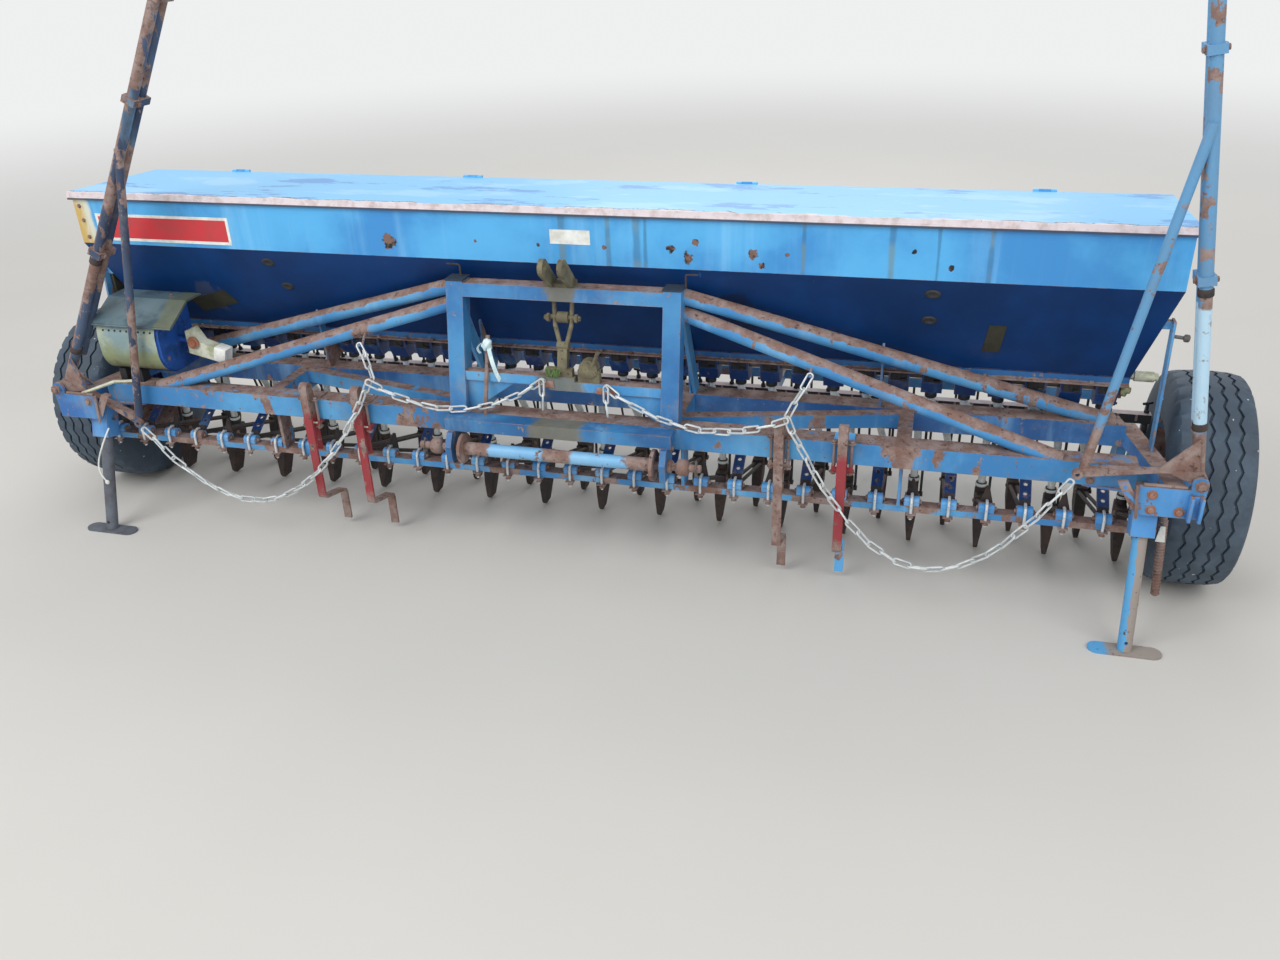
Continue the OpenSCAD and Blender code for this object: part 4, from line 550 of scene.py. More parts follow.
NODE_FINISH = {
    "hopper": band_finish, "hopper_funnel": panel_finish, "hopper_floor_plate": panel_finish,
    "hopper_lid": lid_paint(), "metering_rail": channel_paint(), "rear_beam": rear_blue,
    "brace_tubes": tube_blue, "coulter_rail": rail_blue, "coulter_clamps": clamp_blue, "clamp_hooks": galvanised,
    "headstock": post_blue, "headstock_gussets": gusset_blue, "hitch_beam": hitch_blue,
    "side_members": plate_blue, "stand_sleeves": plate_blue, "coulter_stays": navy_paint,
    "top_link_clevis": greasy, "top_link_shackle": greasy, "lower_link_bar": link_bar_paint(),
    "front_coulters": dark_rust, "rear_coulters": dark_rust, "pressure_bar": pressure_bar_paint(),
    "pressure_arms": soot, "pressure_springs": soot, "metering_units": navy_paint,
    "metering_shaft": bare_steel, "gearbox": gearbox_paint(), "gearbox_lid": gearbox_lid_paint(),
    "gearbox_lever": cream_paint, "track_looseners": loosener_paint(), "marker_chains": galvanised,
    "harrow_tines": dark_rust, "seed_tubes": hose_plastic, "tyre_left": rubber, "tyre_right": rubber,
    "wheel_left": disc_paint, "wheel_right": disc_paint, "marker_left": left_marker_paint,
    "marker_right": right_marker_paint(), "disc_left": disc_paint, "disc_right": disc_paint,
    "stand_left": grey_steel, "stand_right": right_stand_paint(),
}
for node_name, node in nodes.items():
    node.data.materials.clear()
    node.data.materials.append(NODE_FINISH.get(node_name, frame_blue))

# Camera at the photograph's place, 2.2 m above the ground and turned a little to the left
EYE = at(1.248, -3.4159, 2.2109)
YAW = math.radians(-15.94)
PITCH = math.radians(27.55)
ROLL = math.radians(-2.13)
LENS = 30.46
BACKDROP = (0.86, 0.87, 0.87, 1)


def add_camera():
    forward = Vector((math.sin(YAW) * math.cos(PITCH), math.cos(YAW) * math.cos(PITCH), -math.sin(PITCH)))
    level = Vector((math.cos(YAW), -math.sin(YAW), 0))
    upright = level.cross(forward)
    right = level * math.cos(ROLL) + upright * math.sin(ROLL)
    up = upright * math.cos(ROLL) - level * math.sin(ROLL)
    data = bpy.data.cameras.new("camera")
    data.lens = LENS
    data.sensor_width = 36
    data.sensor_fit = "HORIZONTAL"
    data.clip_end = 200
    camera = bpy.data.objects.new("camera", data)
    bpy.context.scene.collection.objects.link(camera)
    turn = Matrix((right, up, -forward)).transposed()
    camera.matrix_world = Matrix.Translation(EYE) @ turn.to_4x4()
    bpy.context.scene.camera = camera


def add_world():
    """Even overcast light, with a pale backdrop for the camera and for reflections"""
    world = bpy.data.worlds.new("studio")
    bpy.context.scene.world = world
    world.use_nodes = True
    tree = world.node_tree
    light = tree.nodes["Background"]
    light.inputs[0].default_value = (0.9, 0.92, 0.94, 1)
    light.inputs[1].default_value = 0.72
    backdrop = tree.nodes.new("ShaderNodeBackground")
    backdrop.inputs[0].default_value = BACKDROP
    path = tree.nodes.new("ShaderNodeLightPath")
    seen = path.outputs["Is Camera Ray"]
    for kind in ("Is Glossy Ray", "Is Transmission Ray"):
        either = tree.nodes.new("ShaderNodeMath")
        either.operation = "MAXIMUM"
        tree.links.new(seen, either.inputs[0])
        tree.links.new(path.outputs[kind], either.inputs[1])
        seen = either.outputs[0]
    mix = tree.nodes.new("ShaderNodeMixShader")
    tree.links.new(seen, mix.inputs[0])
    tree.links.new(light.outputs[0], mix.inputs[1])
    tree.links.new(backdrop.outputs[0], mix.inputs[2])
    tree.links.new(mix.outputs[0], tree.nodes["World Output"].inputs[0])


def add_lamps():
    for name, place, size, power in (
            ("key_lamp", (-3.5, -5.0, 6.0), 5.0, 330), ("fill_lamp", (4.5, -3.5, 4.5), 4.5, 130),
            ("back_lamp", (0.0, 6.0, 5.5), 5.0, 190)):
        data = bpy.data.lights.new(name, "AREA")
        data.size = size
        data.energy = power
        lamp = bpy.data.objects.new(name, data)
        bpy.context.scene.collection.objects.link(lamp)
        lamp.location = place
        aim = Vector((0, 0, 0.6)) - lamp.location
        lamp.rotation_euler = aim.to_track_quat("-Z", "Y").to_euler()


def add_floor():
    """Pale floor that runs out into the backdrop"""
    deselect()
    bpy.ops.mesh.primitive_plane_add(size=160, location=(0, 0, 0))
    floor = bpy.context.active_object
    floor.name = "floor"
    finish = Finish("floor_grey")
    ground = finish.blend(finish.noise(0.8, 3), srgb(196, 193, 187), srgb(204, 201, 196))
    finish.finish(ground, 0.9)
    glow = finish.tree.nodes.new("ShaderNodeEmission")
    glow.inputs[0].default_value = BACKDROP
    away = finish.tree.nodes.new("ShaderNodeVectorMath")
    away.operation = "LENGTH"
    finish.link(finish.coordinates.outputs["Object"], away.inputs[0])
    mix = finish.tree.nodes.new("ShaderNodeMixShader")
    finish.link(finish.step(away.outputs["Value"], 3.0, 15.0), mix.inputs[0])
    finish.link(finish.shader.outputs[0], mix.inputs[1])
    finish.link(glow.outputs[0], mix.inputs[2])
    finish.link(mix.outputs[0], finish.tree.nodes["Material Output"].inputs[0])
    floor.data.materials.append(finish.material)


def deselect():
    bpy.ops.object.select_all(action="DESELECT")


def take(name):
    """The new primitive, named, with its place, turn and size applied to its mesh"""
    piece = bpy.context.active_object
    piece.name = name
    bpy.ops.object.transform_apply(location=True, rotation=True, scale=True)
    return piece


def edit(piece):
    """Edit mode on one piece with all of it selected"""
    deselect()
    piece.select_set(True)
    bpy.context.view_layer.objects.active = piece
    bpy.ops.object.mode_set(mode="EDIT")
    bpy.ops.mesh.select_all(action="SELECT")


def done():
    bpy.ops.object.mode_set(mode="OBJECT")


def keep(piece, material, body="chassis", angle=35):
    """Gives a piece its finish and its body"""
    piece.data.materials.clear()
    piece.data.materials.append(material)
    deselect()
    piece.select_set(True)
    bpy.context.view_layer.objects.active = piece
    bpy.ops.object.shade_smooth_by_angle(angle=math.radians(angle))
    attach(piece, body)
    return piece


def joined(name, model, places):
    """One mesh of a copy of the model at each place; the model is removed"""
    whole = bmesh.new()
    for place in places:
        copy = model.data.copy()
        copy.transform(place)
        whole.from_mesh(copy)
        bpy.data.meshes.remove(copy)
    mesh = bpy.data.meshes.new(name)
    whole.to_mesh(mesh)
    whole.free()
    piece = bpy.data.objects.new(name, mesh)
    bpy.context.scene.collection.objects.link(piece)
    bpy.data.objects.remove(model)
    return piece


def merged(name, *pieces):
    """One piece made of several, in their places"""
    deselect()
    for piece in pieces:
        piece.select_set(True)
    bpy.context.view_layer.objects.active = pieces[0]
    bpy.ops.object.join()
    pieces[0].name = name
    return pieces[0]


def facing(place, out, spin=0.0):
    """Matrix that puts a model drawn along +Z at place, pointing along out"""
    turn = Vector(out).to_track_quat("Z", "Y").to_matrix().to_4x4()
    return Matrix.Translation(place) @ turn @ Matrix.Rotation(spin, 4, "Z")


def bolt_model(size, head, washer=1.5):
    """Hexagon head on a washer, standing on z = 0"""
    deselect()
    bpy.ops.mesh.primitive_cylinder_add(vertices=6, radius=size, depth=head, location=(0, 0, head / 2 + 0.002))
    bolt = take("bolt")
    edit(bolt)
    bpy.ops.mesh.bevel(offset=size * 0.12, segments=1)
    bpy.ops.mesh.primitive_cylinder_add(vertices=14, radius=size * washer, depth=0.002, location=(0, 0, 0.001))
    done()
    return bolt


def bolts(name, places, size=0.009, head=0.007, material=None, body="chassis"):
    """Bolts at (place, direction) pairs"""
    model = bolt_model(size, head)
    matrices = [facing(place, out, 0.7 * number) for number, (place, out) in enumerate(places)]
    return keep(joined(name, model, matrices), material or rust, body)


def slab(name, size, bevel=0.002, taper=None):
    """Plate or block round the origin with broken edges; taper narrows its top face"""
    deselect()
    bpy.ops.mesh.primitive_cube_add(size=1)
    piece = bpy.context.active_object
    piece.scale = size
    piece = take(name)
    if taper:
        for vert in piece.data.vertices:
            if vert.co.z > 0:
                vert.co.x *= taper[0]
                vert.co.y *= taper[1]
    edit(piece)
    bpy.ops.mesh.bevel(offset=bevel, segments=2, affect="EDGES")
    done()
    return piece


def moved(piece, matrix):
    piece.data.transform(matrix)
    return piece


def turned(name, profile, sides=16):
    """Round piece along +Z, extruded and resized through (radius, height) pairs"""
    deselect()
    first = profile[0]
    bpy.ops.mesh.primitive_circle_add(vertices=sides, radius=first[0], fill_type="NGON",
                                      location=(0, 0, first[1]))
    piece = take(name)
    edit(piece)
    for (radius, height), (wide, high) in zip(profile, profile[1:]):
        bpy.ops.mesh.extrude_region_move(TRANSFORM_OT_translate={"value": (0, 0, high - height)})
        share = wide / radius
        bpy.ops.transform.resize(value=(share, share, 1), center_override=(0, 0, 0))
    bpy.ops.mesh.select_all(action="SELECT")
    bpy.ops.mesh.normals_make_consistent(inside=False)
    done()
    return piece


def rod_model(name, points, radius, sides=10, smooth=False):
    """Round wire along a list of points, as a mesh"""
    curve = bpy.data.curves.new(name, "CURVE")
    curve.dimensions = "3D"
    curve.bevel_depth = radius
    curve.bevel_resolution = max(0, sides // 4 - 1)
    curve.use_fill_caps = True
    curve.resolution_u = 4
    line = curve.splines.new("NURBS" if smooth else "POLY")
    line.points.add(len(points) - 1)
    for target, point in zip(line.points, points):
        target.co = (*point, 1)
    if smooth:
        line.order_u = 3
        line.use_endpoint_u = True
    piece = bpy.data.objects.new(name, curve)
    bpy.context.scene.collection.objects.link(piece)
    deselect()
    piece.select_set(True)
    bpy.context.view_layer.objects.active = piece
    bpy.ops.object.convert(target="MESH")
    return bpy.context.active_object


def flat_model(name, points, width, thickness, side):
    """Flat bar along a list of points, as wide as width along the direction side"""
    deselect()
    bpy.ops.mesh.primitive_plane_add(size=1)
    bar = take(name)
    half = Vector(side).normalized() * (width / 2)
    first = Vector(points[0])
    second = Vector(points[1])
    normal = (second - first).cross(half).normalized() * (thickness / 2)
    corners = (first - half - normal, first + half - normal, first + half + normal, first - half + normal)
    order = sorted(bar.data.vertices, key=lambda vert: math.atan2(vert.co.y, vert.co.x))
    for vert, corner in zip(order, corners):
        vert.co = corner
    edit(bar)
    for start, end in zip(points, points[1:]):
        step = Vector(end) - Vector(start)
        bpy.ops.mesh.extrude_region_move(TRANSFORM_OT_translate={"value": step})
    bpy.ops.mesh.select_all(action="SELECT")
    bpy.ops.mesh.normals_make_consistent(inside=False)
    done()
    return bar


def loose_parts(node_name):
    """Point lists of the separate solids of a node"""
    body = bmesh.new()
    body.from_mesh(nodes[node_name].data)
    bmesh.ops.remove_doubles(body, verts=body.verts, dist=0.00002)
    left = set(body.verts)
    parts = []
    while left:
        front = [left.pop()]
        part = list(front)
        while front:
            vert = front.pop()
            for edge in vert.link_edges:
                other = edge.other_vert(vert)
                if other in left:
                    left.remove(other)
                    front.append(other)
                    part.append(other)
        parts.append([vert.co.copy() for vert in part])
    body.free()
    return sorted(parts, key=lambda points: tuple(round(c, 4) for c in min(points)))


# Tyres

TYRE_TURNS = 288
ZIGZAGS = 36
ZIGZAG = 0.045
GROOVE_DEPTH = 0.01
RIM_SEAT = 0.1945


def tyre_rows():
    """Rows of (width share, radius share, groove share, zigzag share) from bead to bead"""
    side = [(-0.72, 0.0), (-0.95, 0.1), (-1.0, 0.32), (-1.0, 0.52), (-0.985, 0.66), (-0.945, 0.79),
            (-0.9, 0.88), (-0.84, 0.93)]
    rows = [(across, out, 0, 0) for across, out in side]
    for rib, groove in ((-0.67, -0.5), (-0.335, -0.17), (0.0, 0.17), (0.335, 0.5)):
        rows.append((rib, 0.99 - 0.07 * rib * rib, 0, 0.6))
        for gap, depth in ((-0.036, 0), (-0.027, 1), (0.027, 1), (0.036, 0)):
            rows.append((groove + gap, 0.99 - 0.07 * groove * groove, depth, 1))
    rows.append((0.67, 0.99 - 0.07 * 0.67 ** 2, 0, 0.6))
    rows += [(-across, out, 0, 0) for across, out in reversed(side)]
    return rows


def add_tyre(side):
    name = "left" if side < 0 else "right"
    low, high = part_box("tyre_" + name)
    middle = (low + high) / 2
    half = (high.x - low.x) / 2
    radius = (high.z - low.z) / 2
    deselect()
    rows = tyre_rows()
    bpy.ops.mesh.primitive_grid_add(x_subdivisions=TYRE_TURNS, y_subdivisions=len(rows) - 1, size=2)
    tyre = take("tyre_tread_" + name)
    for vert in tyre.data.vertices:
        angle = (vert.co.x + 1) * math.pi
        column = round((vert.co.x + 1) / 2 * TYRE_TURNS) % (TYRE_TURNS // ZIGZAGS)
        number = round((vert.co.y + 1) / 2 * (len(rows) - 1))
        across, out, groove, wave = rows[number]
        across += wave * ZIGZAG * (abs(column - TYRE_TURNS // ZIGZAGS / 2) / 2 - 1)
        edge = number in (6, 7, len(rows) - 8, len(rows) - 7)
        depth = GROOVE_DEPTH * groove + (0.006 if edge and column in (0, 1) else 0)
        reach = RIM_SEAT + (radius - RIM_SEAT) * out - depth
        vert.co = (across * half, reach * math.sin(angle), reach * math.cos(angle))
    edit(tyre)
    bpy.ops.mesh.remove_doubles(threshold=0.0002)
    bpy.ops.mesh.normals_make_consistent(inside=False)
    done()
    tyre.data.transform(Matrix.Translation(middle))
    keep(tyre, rubber, "wheel_" + name, 28)
    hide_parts("tyre_" + name)
    nuts = []
    for number in range(6):
        angle = number * math.pi / 3
        place = middle + Vector((side * 0.024, 0.105 * math.sin(angle), 0.105 * math.cos(angle)))
        nuts.append((place, (side, 0, 0)))
    bolts("wheel_nuts_" + name, nuts, 0.012, 0.014, rust, "wheel_" + name)
    valve = turned("valve", ((0.007, 0.0), (0.007, 0.006), (0.004, 0.008), (0.004, 0.03), (0.003, 0.032)), 10)
    moved(valve, facing(middle + Vector((side * 0.02, 0.0, 0.158)), (side, 0, 0.5)))
    keep(valve, soot, "wheel_" + name).name = "tyre_valve_" + name


# Chains of bent wire

WIRE = 0.0038
LINK_LENGTH = 0.0635
LINK_WIDTH = 0.0205


def link_model(length, width):
    half = length / 2 - width / 2
    points = []
    for number in range(16):
        angle = math.pi * 2 * number / 16
        shift = half if math.cos(angle) > 0 else -half
        points.append((shift + width / 2 * math.cos(angle), width / 2 * math.sin(angle), 0))
    points.append(points[0])
    return rod_model("link", points, WIRE, 8)


def add_chains():
    places = []
    pins = []
    for part in loose_parts("marker_chains"):
        middle = sum(part, Vector()) / len(part)
        far = max(part, key=lambda point: (point - middle).length)
        long_way = (far - middle).normalized()
        if (far - middle).length < 0.03:
            pins.append(part)
            continue
        aside = max((point - middle - (point - middle).dot(long_way) * long_way for point in part),
                    key=lambda gap: gap.length).normalized()
        normal = long_way.cross(aside)
        turn = Matrix((long_way, aside, normal)).transposed().to_4x4()
        places.append(Matrix.Translation(middle) @ turn)
    links = joined("chain_links", link_model(LINK_LENGTH, LINK_WIDTH), places)
    keep(links, galvanised, "chassis", 60)
    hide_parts("marker_chains")
    for number, part in enumerate(pins):
        middle = sum(part, Vector()) / len(part)
        near = min(point.y for point in part)
        far = max(point.y for point in part)
        length = far - near
        pin = turned("chain_pin", ((0.0055, 0.0), (0.0055, 0.004), (0.0035, 0.0041), (0.0035, length - 0.0041),
                                   (0.0055, length - 0.004), (0.0055, length)), 12)
        moved(pin, facing((middle.x, near, middle.z), (0, 1, 0)))
        keep(pin, rust).name = f"chain_pin_{number}"
        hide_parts("marker_chains")


# Hopper

PANEL_OUT = Vector((0, -0.8836, -0.4682))
RIM_FROM = 1.2


def on_panel(x, z):
    """Point on the front of the sloping panel"""
    return at(x, 0.092 + (1.136 - z) * 195 / 368, z)


def sheet_frame(name, width, height, rim, outer, inner, x, z):
    """Thin blank plate with a rim of another finish, on the front of the band"""
    deselect()
    bpy.ops.mesh.primitive_cube_add(size=1)
    plate = bpy.context.active_object
    plate.scale = (width, 0.0012, height)
    plate = take(name)
    edit(plate)
    bpy.ops.mesh.select_mode(type="FACE")
    bpy.ops.mesh.select_all(action="DESELECT")
    done()
    for face in plate.data.polygons:
        face.select = face.normal.y < -0.9
    bpy.ops.object.mode_set(mode="EDIT")
    bpy.ops.mesh.inset(thickness=rim, depth=-0.0003)
    done()
    plate.data.transform(Matrix.Translation(at(x, 0.0914, z)))
    plate.data.materials.clear()
    plate.data.materials.append(outer)
    plate.data.materials.append(inner)
    for face in plate.data.polygons:
        face.material_index = 1 if face.select else 0
    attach(plate, "chassis")
    return plate


def front_share(y):
    """1 at the rim's front edge and 0 at its back edge"""
    back = at(0, 0.622, 0).y
    return min(1.0, max(0.0, (back - y) / (back - lid_low.y)))


def add_raised_front():
    """The hopper's band and the lid, with their edges lifted towards the front"""
    for name, body in (("hopper", "chassis"), ("hopper_lid", "lid")):
        piece = bpy.data.objects.new(name + "_raised", nodes[name].data.copy())
        bpy.context.scene.collection.objects.link(piece)
        edit(piece)
        bpy.ops.mesh.remove_doubles(threshold=0.00002)
        done()
        bpy.ops.mesh.customdata_custom_splitnormals_clear()
        for vert in piece.data.vertices:
            share = front_share(vert.co.y)
            if body == "chassis":
                if vert.co.z > RIM_FROM:
                    vert.co.z += FRONT_RISE * share
                continue
            thickness = 0.018 + 0.018 * share
            up = min(1.0, max(0.0, (vert.co.z - lid_low.z) / thickness))
            vert.co.z += share * (FRONT_RISE + (LID_RISE - FRONT_RISE) * up)
        keep(piece, NODE_FINISH[name], body, 12)
        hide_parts(name)


def add_hopper_fittings():
    sheet_frame("bare_sign_plate", 0.587, 0.104, 0.011, white_plastic, sign_red, -1.62, 1.202)
    sheet_frame("bare_label", 0.146, 0.05, 0.002, white_plastic, white_plastic, 0.026, 1.232)
    places = [facing(on_panel(x, z), PANEL_OUT) @ Matrix.Diagonal((1.25, 0.9, 1, 1)) for x, z in (
        (-1.205, 1.083), (-1.177, 0.972), (1.255, 1.082), (1.251, 0.973))]
    plug = turned("plug", ((0.021, -0.002), (0.021, 0.002), (0.017, 0.005), (0.012, 0.005), (0.009, 0.003)), 18)
    keep(joined("panel_plugs", plug, places), soot)
    low_point = on_panel(1.462, 0.85)
    high_point = on_panel(1.474, 0.965)
    out = PANEL_OUT * 0.0012
    window = flat_model("panel_window", (low_point + out, high_point + out), 0.056, 0.002, (1, 0, 0))
    keep(window, olive_paint)
    low_point = on_panel(-1.66, 0.85)
    high_point = on_panel(-1.47, 0.905)
    flap = flat_model("panel_flap", (low_point + out * 2, high_point + out * 2), 0.075, 0.003, (0.35, 0.3, -0.6))
    keep(flap, olive_paint)
    ends = [(at(x, 0.092, z), (0, -1, 0)) for x, z in ((-1.976, 1.28), (-1.972, 1.225), (-1.966, 1.16))]
    bolts("hopper_corner_bolts", ends, 0.0055, 0.004, rust)
    flange_bolts = []
    for first, second in zip(UNIT_X, UNIT_X[1:]):
        flange_bolts.append((at((first + second) / 2, 0.28, 0.744), (0, 0, 1)))
    bolts("channel_bolts", flange_bolts, 0.0075, 0.006, rust)
    bracket = slab("end_bracket", (0.012, 0.05, 0.085), 0.003)
    lip = moved(slab("lip", (0.05, 0.05, 0.006), 0.002), Matrix.Translation((0.02, 0, -0.04)))
    merged("end_bracket", bracket, lip)
    moved(bracket, Matrix.Translation(at(-1.985, 0.2, 0.95)))
    keep(bracket, olive_paint)


def add_metering_fittings():
    """Front covers and shutter knobs of the metering units, their outlet collars, and the shaft's bearing, sleeve
    and crank
    """
    cover = slab("cover", (0.058, 0.004, 0.036), 0.0015, (0.94, 1))
    rib = moved(slab("rib", (0.012, 0.006, 0.03), 0.002), Matrix.Translation((0, -0.003, 0)))
    knob = moved(slab("knob", (0.02, 0.012, 0.008), 0.002), Matrix.Translation((0.016, -0.007, -0.012)))
    merged("cover", cover, rib, knob)
    places = [Matrix.Translation(at(x, 0.3052, 0.716)) for x in UNIT_X]
    keep(joined("unit_covers", cover, places), soot)
    collar = turned("collar", ((0.0205, 0.0), (0.0215, 0.003), (0.0215, 0.012), (0.0205, 0.015)), 20)
    places = [Matrix.Translation(at(x, 0.363, 0.6205)) for x in UNIT_X]
    keep(joined("outlet_collars", collar, places), soot)
    bearing = slab("shaft_bearing", (0.012, 0.04, 0.105), 0.003)
    keep(moved(bearing, Matrix.Translation(at(1.908, 0.341, 0.73))), rust)
    sleeve = turned("shaft_sleeve", ((0.013, 0.0), (0.013, 0.03), (0.018, 0.034), (0.018, 0.095), (0.014, 0.1),
                                     (0.014, 0.108), (0.01, 0.11)), 16)
    keep(moved(sleeve, facing(at(1.912, 0.341, 0.757), (1, 0, 0))), cream_paint)
    crank = turned("shaft_crank", ((0.022, 0.0), (0.024, 0.003), (0.024, 0.012), (0.02, 0.015)), 16)
    keep(moved(crank, facing(at(-1.895, 0.341, 0.708), (-1, 0, 0))), rust)


def add_lid_fittings():
    """Folded hem along the lid's front"""
    points = [at(-2.0115, 0.0797, LID_EDGE + 0.0015), at(2.0115, 0.0797, LID_EDGE + 0.0015)]
    hem = rod_model("lid_hem", points, 0.0024, 8)
    keep(hem, strip_primer, "lid")


# Gearbox

def add_gearbox_fittings():
    right_face = box_high.x - 0.048
    seam = box_high.x - 0.0605
    rim = []
    for number in range(4):
        angle = number * math.pi / 2 + 0.7
        rim.append((at(right_face, 0.04 + 0.084 * math.cos(angle), 0.77 + 0.084 * math.sin(angle)), (1, 0, 0)))
    bolts("end_plate_bolts", rim, 0.006, 0.004, navy_paint)
    holes = []
    for number in range(9):
        angle = math.radians(162)
        y = 0.04 + 0.104 * math.cos(angle)
        z = 0.8 + 0.104 * math.sin(angle)
        x = box_low.x + 0.03 + number * 0.027
        holes.append((at(x, y, z), (0, math.cos(angle), math.sin(angle))))
    hole = turned("hole", ((0.0045, -0.001), (0.0045, 0.0008), (0.003, 0.0009), (0.0028, 0.0002)), 10)
    keep(joined("gearbox_holes", hole, [facing(*place) for place in holes]), soot)
    hub = turned("lever_hub", ((0.024, 0.0), (0.026, 0.003), (0.026, 0.008), (0.015, 0.009), (0.015, 0.017),
                               (0.012, 0.02)), 12)
    lever_x = box_high.x + 0.036
    keep(moved(hub, facing(at(lever_x, 0.0362, 0.766), (0, -1, 0))), orange_rust)
    sleeve = slab("lever_sleeve", (0.052, 0.0535, 0.06), 0.004)
    edit(sleeve)
    bpy.ops.mesh.select_mode(type="FACE")
    bpy.ops.mesh.select_all(action="DESELECT")
    done()
    for face in sleeve.data.polygons:
        face.select = face.normal.x > 0.9 and face.area > 0.001
    bpy.ops.object.mode_set(mode="EDIT")
    bpy.ops.mesh.inset(thickness=0.005, depth=-0.006)
    done()
    turn = Matrix.Rotation(math.radians(14), 4, "Y")
    moved(sleeve, Matrix.Translation(at(box_high.x + 0.141, 0.06, 0.7185)) @ turn)
    keep(sleeve, white_plastic)
    lid_bolts = [(at(x, 0.1, 0.933), (0, 0, 1)) for x in (-1.87, -1.66)]
    bolts("gearbox_lid_bolts", lid_bolts, 0.007, 0.005, rust)
    rod = rod_model("gearbox_rod", (at(-1.80, -0.028, 0.611), at(-1.9, -0.06, 0.612), at(-2.0, -0.134, 0.584)),
                    0.007, 8)
    keep(rod, cream_paint)


# Headstock and hitch

def add_headstock_fittings():
    for side, x, name in ((-1, -0.39, "left"), (1, 0.44, "right")):
        points = (at(x, 0.072, 1.075), at(x, 0.072, 1.118), at(x + side * 0.004, 0.07, 1.124),
                  at(x + side * 0.045, 0.062, 1.127))
        keep(rod_model("post_hook", points, 0.0035, 8), dark_rust).name = "post_hook_" + name
    rod = rod_model("hitch_rod", (at(-0.287, -0.068, 0.606), at(-0.279, 0.006, 0.887)), 0.008, 12)
    keep(rod, rust)
    eye_plates = []
    for x in (-0.062, 0.166):
        eye_plates.append(Matrix.Translation(at(x, -0.0272, 0.716 if x > 0 else 0.728)))
    plate = slab("plate", (0.074, 0.0045, 0.026), 0.0015, (0.86, 1))
    keep(joined("chain_eye_plates", plate, eye_plates), orange_rust)
    nut = turned("roller_nut", ((0.016, 0.0), (0.016, 0.01), (0.01, 0.011), (0.01, 0.018), (0.008, 0.02)), 6)
    places = [facing(at(side * 0.047, 0.034, 0.958), (side, 0, 0)) for side in (-1, 1)]
    keep(joined("roller_nuts", nut, places), greasy)


def add_tape():
    """Strip of pale tape knotted round the rod behind the cross bar"""
    knot_place = at(-0.2805, -0.008, 0.855)
    deselect()
    bpy.ops.mesh.primitive_ico_sphere_add(subdivisions=3, radius=0.019)
    knot = take("tape_knot")
    for vert in knot.data.vertices:
        fold = math.sin(vert.co.x * 310) * math.cos(vert.co.z * 270) * 0.0035
        vert.co += vert.co.normalized() * (fold + random.uniform(-0.0006, 0.0006))
        vert.co.z *= 1.25
    moved(knot, Matrix.Translation(knot_place))
    points = []
    for number in range(9):
        share = number / 8
        points.append(knot_place + Vector((0.012 + 0.034 * share, -0.014 - 0.012 * math.sin(share * 3),
                                           -0.008 - 0.125 * share)))
    tail = flat_model("tail", points, 0.015, 0.0012, (1, 0.25, 0.3))
    points = []
    for number in range(6):
        share = number / 5
        points.append(knot_place + Vector((-0.014 - 0.02 * math.sin(share * 2.6), -0.008, 0.01 - 0.04 * share)))
    loop = flat_model("loop", points, 0.012, 0.0012, (0.3, 1, 0))
    keep(merged("tape_knot", knot, tail, loop), pale_tape, "chassis", 50)


def add_moss():
    """Tuft of moss beside the casting"""
    blades = []
    for number in range(46):
        root = at(-0.03 + random.uniform(-0.02, 0.024), -0.03 + random.uniform(0.0, 0.006),
                  0.752 + random.uniform(0, 0.006))
        tip = root + Vector((random.uniform(-0.016, 0.016), random.uniform(-0.012, 0.004),
                             random.uniform(0.016, 0.042)))
        bend = (root + tip) / 2 + Vector((random.uniform(-0.006, 0.006), -0.004, 0))
        blades.append(flat_model("blade", (root, bend, tip), 0.003, 0.0008, (1, random.uniform(-1, 1), 0)))
    keep(merged("moss_tuft", *blades), moss_green)


def add_link_ends():
    """Ball and linch pin on each lower link pin"""
    for side, name in ((-1, "left"), (1, "right")):
        ball = turned("ball", ((0.0175, -0.0235), (0.024, -0.0195), (0.0285, -0.0125), (0.0305, -0.004),
                               (0.0305, 0.004), (0.0285, 0.0125), (0.024, 0.0195), (0.0175, 0.0235)), 24)
        moved(ball, facing(at(side * 0.466, -0.128, 0.492), (side, 0, 0)))
        keep(ball, rust, "chassis", 50).name = "link_ball_" + name
        ring = []
        for number in range(17):
            angle = 2 * math.pi * number / 16
            ring.append(at(side * 0.514, -0.128 + 0.019 * math.sin(angle), 0.492 - 0.008 + 0.026 * math.cos(angle)))
        loop = rod_model("linch_ring", ring, 0.0025, 8)
        pin = rod_model("linch_pin", (at(side * 0.514, -0.128, 0.52), at(side * 0.514, -0.128, 0.462)), 0.0048, 8)
        keep(merged("linch_pin", loop, pin), bare_steel).name = "linch_pin_" + name
    bracket_bolts = []
    for side in (-1, 1):
        for y, z in ((-0.105, 0.57), (-0.082, 0.54)):
            bracket_bolts.append((at(side * 0.4125, y, z), (side, 0, 0)))
    bolts("link_bracket_bolts", bracket_bolts, 0.01, 0.008, rust)


# Coulters

